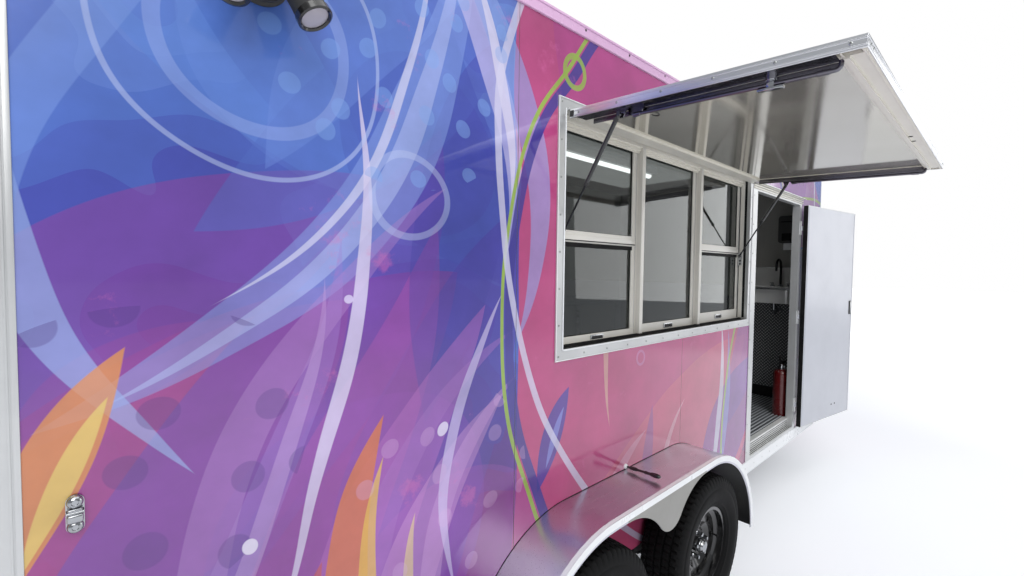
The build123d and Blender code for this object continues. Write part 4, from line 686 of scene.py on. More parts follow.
class Shape:
    """Simple forms gathered into one mesh."""

    def __init__(self, turn: Matrix | None = None) -> None:
        """Start an empty mesh whose forms are placed by a matrix."""
        self.mesh = bmesh.new()
        self.turn = turn or Matrix.Identity(4)

    def box(self, low: Point, high: Point, bevel: float = 0.0, steps: int = 2) -> "Shape":
        """Add a box with rounded edges between any two opposite corners."""
        middle = (Vector(low) + Vector(high)) / 2
        size = [abs(part) for part in Vector(high) - Vector(low)]
        place = self.turn @ Matrix.Translation(middle) @ Matrix.Diagonal((*size, 1.0))
        made = bmesh.ops.create_cube(self.mesh, size=1.0, matrix=place)["verts"]
        if bevel:
            edges = {edge for vert in made for edge in vert.link_edges}
            bmesh.ops.bevel(
                self.mesh,
                geom=list(edges),
                offset=bevel,
                segments=steps,
                profile=0.6,
                affect="EDGES",
                clamp_overlap=True,
            )
        return self

    def lathe(
        self,
        profile: Sequence[tuple[float, float]],
        origin: Point,
        axis: Point,
        sides: int = 32,
    ) -> "Shape":
        """Turn a profile of (radius, distance along the axis) about an axis."""
        lean = Vector((0, 0, 1)).rotation_difference(Vector(axis)).to_matrix().to_4x4()
        turn = self.turn @ Matrix.Translation(origin) @ lean
        rings: list[list[bmesh.types.BMVert]] = []
        for radius, height in profile:
            if radius < 1e-6:
                rings.append([self.mesh.verts.new(turn @ Vector((0, 0, height)))])
                continue
            steps = (math.tau * k / sides for k in range(sides))
            row = [Vector((radius * math.cos(a), radius * math.sin(a), height)) for a in steps]
            rings.append([self.mesh.verts.new(turn @ corner) for corner in row])
        for near, far in zip(rings, rings[1:]):
            for k in range(sides):
                after = (k + 1) % sides
                corners = [near[k % len(near)], near[after % len(near)], far[after % len(far)], far[k % len(far)]]
                unique = list(dict.fromkeys(corners))
                if len(unique) > 2:
                    self.mesh.faces.new(unique)
        return self

    def rod(self, start: Point, end: Point, radius: float, sides: int = 20, round_off: float = 0.0) -> "Shape":
        """Add a round bar between two points, with rounded ends where asked."""
        run = Vector(end) - Vector(start)
        length = run.length
        edge = round_off or min(radius, length / 2) * 0.15
        near = [(0.0, 0.0), (radius - edge, 0.0), (radius, edge)]
        far = [(radius, length - edge), (radius - edge, length), (0.0, length)]
        return self.lathe(near + far, start, tuple(run), sides)

    def close(self, rows: Sequence[Sequence[Point]]) -> "Shape":
        """Join rows of corners into a closed form, each row a ring, and fill both ends."""
        rings = [[self.mesh.verts.new(self.turn @ Vector(corner)) for corner in row] for row in rows]
        for near, far in zip(rings, rings[1:]):
            for k in range(len(near)):
                after = (k + 1) % len(near)
                self.mesh.faces.new((near[k], near[after], far[after], far[k]))
        self.mesh.faces.new(rings[0][::-1])
        self.mesh.faces.new(rings[-1])
        return self

    def tube(self, points: Sequence[Point], radius: float, sides: int = 14) -> "Shape":
        """Add a round tube along points, with flat ends."""
        path = [Vector(p) for p in points]
        rows = []
        side = self.turn.to_3x3().inverted() @ Vector((0.31, 0.52, 0.79))
        for k, here in enumerate(path):
            ahead = path[min(k + 1, len(path) - 1)] - path[max(k - 1, 0)]
            ahead.normalize()
            side = (side - ahead * side.dot(ahead)).normalized()
            up = ahead.cross(side)
            angles = (math.tau * n / sides for n in range(sides))
            rows.append([here + (side * math.cos(a) + up * math.sin(a)) * radius for a in angles])
        return self.close(rows)

    def prism(self, outline: Sequence[tuple[float, float]], start: Point, run: Point, across: Point) -> "Shape":
        """Push an outline along a run.

        Args:
            outline: its points as (across, up) from the start.
            start: where the outline's zero is.
            run: the way and length it is pushed.
            across: the direction of the outline's first part.

        Returns:
            This shape.
        """
        side = Vector(across).normalized()
        up = Vector(run).cross(side).normalized()
        base = [Vector(start) + side * a + up * b for a, b in outline]
        return self.close([base, [corner + Vector(run) for corner in base]])

    def screw(self, place: Point, outward: Point, radius: float = 0.0042, socket: float = 0.45) -> "Shape":
        """Add a low screw head with a small recess, or a rivet where the socket is 0."""
        rise = radius * 0.55
        profile = [(radius, 0.0), (radius * 0.92, rise * 0.6), (radius * 0.62, rise * 0.95)]
        if socket:
            profile += [(radius * socket, rise), (radius * socket * 0.7, rise * 0.35), (0.0, rise * 0.3)]
        else:
            profile += [(0.0, rise * 1.05)]
        return self.lathe(profile, place, outward, 12)

    def piece(
        self,
        name: str,
        finish: Finish,
        body: str = "chassis",
        replaces: Sequence[str] = (),
        sharp: float = 38.0,
    ) -> bpy.types.Object:
        """Make the mesh one piece that rides on a body.

        Args:
            name: the piece's name.
            finish: its finish.
            body: the CAD body that it rides on.
            replaces: the CAD nodes that it stands for.
            sharp: the angle in degrees above which an edge stays sharp.

        Returns:
            The new object.
        """
        bmesh.ops.recalc_face_normals(self.mesh, faces=self.mesh.faces)
        data = bpy.data.meshes.new(name)
        self.mesh.to_mesh(data)
        self.mesh.free()
        data.polygons.foreach_set("use_smooth", [True] * len(data.polygons))
        data.set_sharp_from_angle(angle=math.radians(sharp))
        data.materials.append(finish.material())
        made = bpy.data.objects.new(name, data)
        bpy.context.scene.collection.objects.link(made)
        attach(made, body)
        if replaces:
            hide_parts(*replaces)
        LOG.info("%s: %d faces on %s", name, len(data.polygons), body)
        return made


def dress(finish: Finish, *nodes: str) -> None:
    """Give CAD nodes a finish through their material slots."""
    for node in nodes:
        shown = frame["nodes"][node]
        for held in shown.material_slots:
            held.material = finish.material()
        LOG.info("%s: %s", node, finish.name)


# Places read from the frame
WALL_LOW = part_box("street_wall")[0].z
WALL_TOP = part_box("street_wall")[1].z
CURB_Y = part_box("curb_wall")[0].y
STREET_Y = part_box("street_wall")[1].y
INNER_CURB_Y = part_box("curb_wall")[1].y
INNER_STREET_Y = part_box("street_wall")[0].y
BODY_REAR_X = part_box("roof")[0].x
FRONT_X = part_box("roof")[1].x
FRONT_INNER_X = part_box("front_wall")[0].x
FLOOR_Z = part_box("floor_deck")[1].z
FLANGE_Y = CURB_Y - 0.004
JOINTS = {joint["name"]: joint for joint in frame["joints"]}


@dataclass(frozen=True)
class Run:
    """A row of screws or rivets from one point to another."""

    start: Point
    end: Point
    outward: Point
    spacing: float

    def places(self) -> list[Vector]:
        """Return the point of each screw, evenly spread."""
        first, last = Vector(self.start), Vector(self.end)
        count = max(1, round((last - first).length / self.spacing))
        return [first.lerp(last, k / count) for k in range(count + 1)]


def fasten(name: str, runs: Sequence[Run], finish: Finish, radius: float, socket: float) -> None:
    """Make all the screws of some rows one piece."""
    shape = Shape()
    for run in runs:
        for place in run.places():
            shape.screw(tuple(place), run.outward, radius, socket)
    shape.piece(name, finish)


@dataclass
class Body:
    """The box body: printed walls, posts, rails and roof."""

    beads: tuple[Point, ...] = ((0.002, 0.006, 0.0018), (0.026, 0.003, 0.0012), (0.032, 0.009, 0.0030))
    rail_screw_spacing: float = 0.305
    rivet_spacing: float = 0.150

    def build(self) -> None:
        """Dress the walls and add the trim."""
        for side, node in ((Side.CURB, "curb_wall"), (Side.STREET, "street_wall"), (Side.FRONT, "front_wall")):
            dress(Print(f"print_{side.value}", side, BODY_REAR_X, WALL_LOW), node)
        dress(Print("print_rear", Side.REAR, BODY_REAR_X, WALL_LOW), "rear_door_curb", "rear_door_street")
        dress(TRIM, "corner_posts", "rear_frame")
        dress(TOP_FILM, "top_rails")
        dress(WHITE, "bottom_rails")
        dress(MILL, "roof")
        dress(WHITE, "roof_vent")
        dress(ZINC, "lock_bar_curb", "lock_bar_street")
        self.post_ribs()
        self.rail_beads()
        self.screws()

    def post_ribs(self) -> None:
        """Add the long beads on the outer faces of the rear posts."""
        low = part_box("corner_posts")[0]
        shape = Shape()
        for side in (-1, 1):
            y = side * STREET_Y
            for start, width, rise in self.beads:
                x = BODY_REAR_X + start
                shape.box((x, y, low.z + 0.001), (x + width, y + side * rise, WALL_TOP - 0.013), 0.0008, 2)
        shape.piece("post_beads", TRIM)

    def rail_beads(self) -> None:
        """Add the rolled bead along the top rails and the step along the bottom rails."""
        low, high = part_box("top_rails")
        shape = Shape()
        for side in (-1, 1):
            y = side * high.y
            for z, radius in ((low.z + 0.004, 0.0032), (high.z - 0.010, 0.0040)):
                shape.rod((BODY_REAR_X, y, z), (FRONT_X, y, z), radius, 12)
        shape.piece("top_rail_beads", TOP_FILM)
        rail_low, rail_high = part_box("bottom_rails")
        shape = Shape()
        for start, end in self.bottom_stretches():
            for side in (-1, 1):
                y = side * rail_high.y
                for z in (rail_low.z + 0.007, rail_low.z + 0.080):
                    shape.box((start, y - 0.002, z - 0.004), (end, y + 0.002, z + 0.004), 0.0014, 2)
        shape.piece("bottom_rail_beads", WHITE)

    def bottom_stretches(self) -> list[tuple[float, float]]:
        """Return the runs of the bottom rails before and behind the fenders."""
        fender_low, fender_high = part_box("fender_curb")
        return [(BODY_REAR_X + 0.002, fender_low.x - 0.004), (fender_high.x + 0.004, FRONT_X - 0.040)]

    def screws(self) -> None:
        """Add the screws of the rails and posts."""
        low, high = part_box("top_rails")
        runs = []
        for side in (-1, 1):
            y = side * high.y
            z = (low.z + high.z) / 2 + 0.004
            runs.append(Run((BODY_REAR_X + 0.06, y, z), (FRONT_X - 0.06, y, z), (0, side, 0), self.rail_screw_spacing))
        for x, way in ((low.x, -1), (high.x, 1)):
            z = (low.z + high.z) / 2
            runs.append(Run((x, CURB_Y + 0.06, z), (x, STREET_Y - 0.06, z), (way, 0, 0), self.rail_screw_spacing))
        fasten("top_rail_screws", runs, BLACK_PLASTIC, 0.0048, 0.4)
        rail_low, rail_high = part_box("bottom_rails")
        runs = []
        for start, end in self.bottom_stretches():
            for side in (-1, 1):
                y = side * rail_high.y
                z = rail_low.z + 0.044
                runs.append(Run((start + 0.03, y, z), (end - 0.03, y, z), (0, side, 0), self.rivet_spacing))
        fasten("bottom_rail_rivets", runs, TRIM, 0.0045, 0.0)
        runs = []
        out = (-1, 0, 0)
        for side in (-1, 1):
            y = side * (STREET_Y - 0.018)
            runs.append(Run((BODY_REAR_X, y, WALL_LOW + 0.05), (BODY_REAR_X, y, WALL_TOP - 0.05), out, 0.30))
        low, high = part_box("rear_frame")
        z = high.z - 0.012
        runs.append(Run((BODY_REAR_X, low.y + 0.20, z), (BODY_REAR_X, high.y - 0.20, z), out, 0.28))
        fasten("post_screws", runs, ZINC, 0.0045, 0.45)


@dataclass
class ServingWindow:
    """The framed opening, its sashes and its tracks."""

    flange: float = 0.044
    depth: float = 0.094
    opening: float = 0.914
    mullion: float = 0.038
    face: float = 0.030
    sash_depth: float = 0.030
    meeting: float = 0.48
    rails: Point = (0.031, 0.046, 0.064)
    screw_spacing: float = 0.152
    panel_y: float = -1.036
    low: Vector = field(init=False)
    high: Vector = field(init=False)

    def __post_init__(self) -> None:
        """Read the opening from the frame."""
        low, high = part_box("window_frame")
        self.outer_y = FLANGE_Y
        self.low = Vector((low.x + self.flange, self.outer_y, low.z + self.flange))
        self.high = Vector((high.x - self.flange, self.outer_y + self.depth, low.z + self.flange + self.opening))
        self.sash_y = self.high.y - self.sash_depth

    def bays(self) -> list[tuple[float, float]]:
        """Return the two sides of each bay between the mullions."""
        width = self.high.x - self.low.x
        third = width / 3
        half = self.mullion / 2
        edges = [self.low.x, self.low.x + third, self.low.x + 2 * third, self.high.x]
        return [
            (edges[0], edges[1] - half),
            (edges[1] + half, edges[2] - half),
            (edges[2] + half, edges[3]),
        ]

    def build(self) -> None:
        """Dress the window and add its hardware."""
        dress(TRIM, "window_frame")
        dress(SASH, "sash_frames")
        dress(GLASS, "window_glass")
        self.flange_trim()
        self.tracks()
        self.head_rails()
        self.posts()
        self.sash_trim()
        self.latches()
        self.screws()

    def flange_trim(self) -> None:
        """Add the raised inner edge and the folded lip of the flange."""
        shape = Shape()
        y = self.outer_y
        rise = 0.0035
        for inset, width in ((-0.006, 0.006), (-self.flange, 0.004)):
            low_x, high_x = self.low.x + inset, self.high.x - inset
            low_z, high_z = self.low.z + inset, self.high.z - inset
            shape.box((low_x, y - rise, low_z), (high_x, y, low_z + width), 0.0012, 1)
            if inset < -0.01:
                shape.box((low_x, y - rise, high_z - width), (high_x, y, high_z), 0.0012, 1)
            shape.box((low_x, y - rise, low_z), (low_x + width, y, high_z), 0.0012, 1)
            shape.box((high_x - width, y - rise, low_z), (high_x, y, high_z), 0.0012, 1)
        shape.piece("window_flange_edges", WHITE)

    def tracks(self) -> None:
        """Add the dark ribbed sill and the strips up the jambs."""
        dark = Shape()
        light = Shape()
        left, right = self.low.x + 0.001, self.high.x - 0.001
        base = self.low.z
        dark.box((left, self.outer_y + 0.005, base), (right, self.sash_y - 0.001, base + 0.0006))
        for y in (self.panel_y + 0.001, self.panel_y + 0.010):
            dark.box((left, y, base), (right, y + 0.003, base + 0.008), 0.0008, 1)
        light.box((left, self.panel_y + 0.019, base), (right, self.panel_y + 0.022, base + 0.008), 0.0008, 1)
        for x, way in ((self.low.x, 1), (self.high.x, -1)):
            for near_y, far_y, rise, shape in (
                (self.outer_y + 0.018, self.panel_y - 0.002, 0.0005, dark),
                (self.panel_y, self.panel_y + 0.023, 0.0016, light),
                (self.panel_y + 0.024, self.sash_y - 0.001, 0.0026, dark),
            ):
                shape.box((x, near_y, base + 0.009), (x + way * rise, far_y, self.high.z - 0.004))
        dark.piece("window_dark_tracks", GASKET_AND_PAINTED_SHADE)
        light.piece("window_light_tracks", SASH)

    def head_rails(self) -> None:
        """Add the stepped cream rails under the window's head, behind the closed awning."""
        shape = Shape()
        far = (self.high.x - 0.001, self.sash_y - 0.001, self.high.z)
        for depth, drop in ((0.0, 0.026), (0.010, 0.038), (0.019, 0.048)):
            near = (self.low.x + 0.001, self.panel_y + 0.001 + depth, self.high.z - drop)
            shape.box(near, far, 0.0012, 1)
        shape.piece("window_head_rails", CREAM)

    def posts(self) -> None:
        """Add the posts that stand before the mullions."""
        shape = Shape()
        third = (self.high.x - self.low.x) / 3
        base, top = self.low.z + 0.001, self.high.z - 0.001
        back = self.sash_y + 0.001
        for x in (self.low.x + third, self.high.x - third):
            shape.box((x - 0.014, self.panel_y + 0.001, base), (x + 0.014, back, top), 0.0015)
            for edge in (x - 0.017, x + 0.017):
                shape.box((edge - 0.002, self.sash_y - 0.005, base), (edge + 0.002, back, top), 0.001, 1)
        shape.piece("window_posts", SASH)

    def sash_trim(self) -> None:
        """Add the glazing beads and the broad lower rails of the sashes."""
        shape = Shape()
        beads = Shape()
        broad = Shape()
        middle_z = self.low.z + (self.high.z - self.low.z) * self.meeting
        double = (self.low.z, middle_z, self.high.z)
        front, back = self.sash_y - 0.001, self.sash_y + 0.003
        for (left, right), levels, rail in zip(self.bays(), (double, (self.low.z, self.high.z), double), self.rails):
            for low_z, high_z in zip(levels, levels[1:]):
                pane = (left + self.face, right - self.face, low_z + self.face, high_z - self.face)
                self.surround(beads, pane, (0.004, 0.002), (self.sash_y, self.sash_y + 0.007), 0.001)
                self.surround(shape, pane, (0.0, 0.004), (self.sash_y + 0.006, self.sash_y + 0.0095))
            base = levels[0]
            broad.box((left + 0.004, front, base + 0.003), (right - 0.004, back, base + rail), 0.0006, 1)
            if len(levels) == 3:
                broad.box((left + 0.003, front, middle_z - 0.005), (right - 0.003, back, middle_z + 0.014), 0.0006, 1)
                shape.box((left + 0.004, front, middle_z - 0.009), (right - 0.004, back, middle_z - 0.006))
                channel = (right - self.face, self.sash_y + 0.009, middle_z - 0.016)
                shape.box((left + self.face, front, middle_z - 0.034), channel)
        beads.piece("glazing_beads", SASH)
        shape.piece("glazing_gaskets", GASKET_AND_PAINTED_SHADE)
        broad.piece("sash_rails", SASH)

    @staticmethod
    def surround(
        shape: Shape,
        pane: tuple[float, float, float, float],
        widths: tuple[float, float],
        depths: tuple[float, float],
        bevel: float = 0.0,
    ) -> None:
        """Add four bars round a pane.

        Args:
            shape: the shape that takes the bars.
            pane: its left, right, bottom and top.
            widths: how far the bars reach out of the pane and into it.
            depths: the bars' front and back.
            bevel: the rounding of their edges.
        """
        left, right, base, top = pane
        out, into = widths
        near, far = depths
        for low, high in (
            ((left - out, near, base - out), (right + out, far, base + into)),
            ((left - out, near, top - into), (right + out, far, top + out)),
            ((left - out, near, base), (left + into, far, top)),
            ((right - into, near, base), (right + out, far, top)),
        ):
            shape.box(low, high, bevel, 1)

    def latches(self) -> None:
        """Add the spring latches on the lower rails and the cam locks on the jambs."""
        frames = Shape()
        pads = Shape()
        for (left, right), rail in zip(self.bays(), self.rails):
            x = (left + right) / 2
            y = self.sash_y
            z = self.low.z + rail / 2
            frames.box((x - 0.045, y - 0.006, z - 0.012), (x + 0.045, y - 0.0005, z + 0.012), 0.002)
            for start, end in ((-0.036, 0.004), (0.010, 0.036)):
                pads.box((x + start, y - 0.009, z - 0.007), (x + end, y - 0.005, z + 0.007), 0.0015)
        pin = Vector(JOINTS["strut_rod_rear_hinge"]["pos_m"])
        for x, way in ((self.low.x + 0.007, 1), (self.high.x - 0.007, -1)):
            for drop in (0.030, 0.050):
                pads.lathe([(0.0062, 0.0), (0.0062, 0.003), (0.0, 0.003)], (x, pin.y, pin.z - drop), (way, 0, 0), 6)
        frames.piece("latch_plates", STAINLESS)
        pads.piece("latch_pads", BLACK_PLASTIC)

    def screws(self) -> None:
        """Add the flange's screws."""
        middle = self.flange * 0.58
        left, right = self.low.x - middle, self.high.x + middle
        base, top = self.low.z - middle, self.high.z + middle
        y = self.outer_y
        out = (0, -1, 0)
        runs = [
            Run((left, y, base), (right, y, base), out, self.screw_spacing),
            Run((left, y, base + 0.12), (left, y, top), out, self.screw_spacing),
            Run((right, y, base + 0.12), (right, y, top), out, self.screw_spacing),
            Run((left + 0.12, y, top), (right - 0.12, y, top), out, self.screw_spacing),
        ]
        fasten("window_screws", runs, ZINC, 0.0042, 0.42)


@dataclass
class Awning:
    """The lifted panel with its liner, edge trim and hardware."""

    sag: float = 2.5
    top: float = -0.008
    thickness: float = 0.028
    back: float = -0.0085
    reach: float = 0.904
    half: float = 0.914
    border: float = 0.064
    recess: float = 0.012
    rod_place: float = 0.862
    rod_drop: float = 0.022
    eye_reach: float = 0.215
    eye_drop: float = 0.056
    stud_place: float = 0.884
    ferrules: tuple[float, float] = (0.250, 0.800)
    clasp_reach: float = 0.690
    hook_reach: float = 0.330
    screw_spacing: float = 0.166
    holes: tuple[float, float] = (0.10, 0.19)

    def __post_init__(self) -> None:
        """Take the awning's own frame from its hinge."""
        place = Matrix.Translation(JOINTS["awning_hinge"]["pos_m"])
        self.turn = place @ Matrix.Rotation(math.radians(self.sag), 4, "X")
        self.under = self.top - self.thickness
        self.front = self.back - self.reach

    def build(self) -> None:
        """Dress the awning and add its details."""
        dress(CREAM, "awning_panel")
        dress(RAIL_STEEL, "awning_rails")
        self.liner()
        self.skin()
        self.hardware()
        self.screws()

    def liner(self) -> None:
        """Add the mirror-like liner in the panel's recess, with its beads."""
        across = self.half - self.border
        front, back = self.front + self.border, self.back - self.border
        face = self.under + self.recess
        shape = Shape(self.turn)
        shape.box((-across, front, face - 0.0016), (across, back, face + 0.001))
        shape.piece("awning_liner", LINER, "awning")
        beads = Shape(self.turn)
        for y in (front, back):
            beads.box((-across, y - 0.004, face - 0.004), (across, y + 0.004, face), 0.001)
        for x in (-across, across):
            beads.box((x - 0.004, front, face - 0.004), (x + 0.004, back, face), 0.001)
        beads.piece("liner_beads", CREAM, "awning")

    def skin(self) -> None:
        """Add the metal skin on the top and the extrusions round the edge."""
        trim = Shape(self.turn)
        low, high = self.under, self.top
        trim.box((-self.half, self.front, high - 0.001), (self.half, self.back, high + 0.0012), 0.0006, 1)
        trim.box((-self.half, self.front - 0.001, low - 0.001), (self.half, self.front + 0.001, high + 0.002), 0.001)
        for side in (-1, 1):
            near, far = side * (self.half - 0.001), side * (self.half + 0.0015)
            trim.box((near, self.front, low - 0.001), (far, self.back, high + 0.002), 0.0008)
            for height in (low + 0.005, high - 0.007):
                near, far = side * self.half, side * (self.half + 0.0025)
                trim.box((near, self.front, height - 0.002), (far, self.back, height + 0.002), 0.0008, 1)
            near, far = side * (self.half + 0.0015), side * (self.half - 0.0028)
            trim.box((near, self.front, low - 0.0022), (far, self.back, low), 0.0008, 1)
        for height in (low + 0.004, high - 0.005):
            near = (-self.half, self.front - 0.002, height - 0.002)
            trim.box(near, (self.half, self.front, height + 0.002), 0.0008, 1)
        trim.piece("awning_edge_trim", TRIM_LONG, "awning")
        sides = Shape(self.turn)
        ends = Shape(self.turn)
        for side in (-1, 1):
            near, far = side * (self.half - self.border + 0.006), side * (self.half - 0.006)
            sides.box((near, self.front + self.border, low - 0.0008), (far, self.back - 0.030, low + 0.0004))
            near, far = side * (self.half - self.border), side * (self.half - self.border - 0.003)
            sides.box((near, self.front + self.border, low - 0.018), (far, self.back - 0.062, low + 0.010), 0.001)
            near, far = side * (self.half - 0.006), side * (self.half + 0.0028)
            ends.box((near, self.back - 0.018, low + 0.002), (far, self.back - 0.001, high - 0.002), 0.001)
        sides.piece("awning_side_channels", RAIL_STEEL, "awning")
        ends.piece("awning_end_caps", BLACK_PLASTIC, "awning")
        ribs = Shape(self.turn)
        for y in (self.front + 0.005, self.front + self.border - 0.013):
            ribs.box((-self.half + 0.006, y, low - 0.0014), (self.half - 0.006, y + 0.005, low), 0.0006, 1)
        ribs.piece("awning_border_ribs", CREAM, "awning")

    def hardware(self) -> None:
        """Add the studs, the rods' ferrules, the clasp and the hook."""
        z = self.under
        studs = Shape(self.turn)
        for side in (-1, 1):
            start = (side * self.stud_place, -self.eye_reach, -self.eye_drop)
            end = (side * (self.stud_place + 0.0070), -self.eye_reach, -self.eye_drop)
            studs.rod(start, end, 0.0040, 16)
            back = (side * (self.stud_place - 0.0095), -self.eye_reach, -self.eye_drop)
            studs.lathe([(0.0, 0.0), (0.0072, 0.0), (0.0072, 0.0045), (0.0, 0.0045)], back, (side, 0, 0), 6)
            x = side * self.rod_place
            for reach in self.ferrules:
                studs.rod((x, -reach, z - self.rod_drop), (x, -reach - 0.030, z - self.rod_drop), 0.0078, 20)
        studs.piece("awning_studs", RAIL_STEEL, "awning")
        clasp = Shape(self.turn)
        x, y = -self.rod_place, -self.clasp_reach
        clasp.rod((x, y, z + 0.001), (x, y, z - 0.012), 0.015, 28)
        clasp.box((x - 0.010, y - 0.034, z - 0.038), (x + 0.010, y + 0.034, z - 0.030), 0.003)
        clasp.box((x - 0.008, y - 0.010, z - 0.036), (x + 0.008, y + 0.010, z - 0.006), 0.002)
        clasp.piece("awning_clasps", CHROME, "awning")
        hook = Shape(self.turn)
        y, z = -self.hook_reach, z - self.rod_drop - 0.004
        turns = [(x, y, z), (x + 0.018, y - 0.004, z), (x + 0.034, y, z)]
        turns += [
            (x + 0.034 + 0.014 * math.sin(a), y + 0.012 - 0.012 * math.cos(a), z)
            for a in (math.pi * k / 8 for k in range(1, 11))
        ]
        hook.tube(turns, 0.0018, 8)
        hook.piece("awning_hook", ROD_BLACK, "awning")

    def screws(self) -> None:
        """Add the screws along the edges."""
        middle = (self.under + self.top) / 2
        spots = []
        for side in (-1, 1):
            for k in range(6):
                spots.append(((side * (self.half + 0.0013), -0.05 - k * self.screw_spacing, middle), (side, 0, 0)))
            for inset in (0.030, 0.062):
                spots.append(((side * (self.half - inset), self.front - 0.0008, middle), (0, -1, 0)))
        # Black discs on the front border stand for two holes; their black is painted shade inside the holes.
        holes = Shape(self.turn)
        y = self.front + 0.034
        for x in self.holes:
            holes.rod((x, y, self.under + 0.001), (x, y, self.under - 0.0008), 0.0075, 20)
        holes.piece("awning_holes", GASKET_AND_PAINTED_SHADE, "awning")
        shape = Shape(self.turn)
        for place, outward in spots:
            shape.screw(place, outward, 0.0045, 0.42)
        shape.piece("awning_screws", ZINC, "awning")


@dataclass
class Struts:
    """The two gas struts, each with its rod on the frame's pin and its tube at the awning."""

    open_length: float = 0.5151
    tube_length: float = 0.267
    tube_radius: float = 0.008
    rod_radius: float = 0.004

    def build(self) -> None:
        """Dress the struts and add the collars at both ends of their tubes."""
        dress(STRUT_BLACK, "strut_tube_rear", "strut_tube_front")
        dress(ROD_BLACK, "strut_rod_rear", "strut_rod_front")
        for end in ("rear", "front"):
            pin = Vector(JOINTS[f"strut_rod_{end}_hinge"]["pos_m"])
            run = Vector(JOINTS[f"strut_tube_{end}_slide"]["axis"]).normalized()
            back = tuple(-run)
            foot = pin + run * (self.open_length - self.tube_length)
            head = pin + run * (self.open_length - 0.012)
            collar = self.tube_radius + 0.0006
            seal = [(self.rod_radius + 0.0006, 0.0022), (self.tube_radius - 0.001, 0.0022)]
            sleeve = [(collar, 0.0), (collar, -0.012), (self.tube_radius, -0.0125)]
            socket = [(0.0, -0.002), (0.0062, -0.002), (0.0086, 0.004), (0.0086, 0.016), (0.008, 0.0165)]
            caps = Shape()
            caps.lathe(seal + sleeve, tuple(foot), back, 28)
            caps.lathe(socket, tuple(head), back, 28)
            caps.piece(f"strut_caps_{end}", BLACK_PLASTIC, f"strut_tube_{end}")


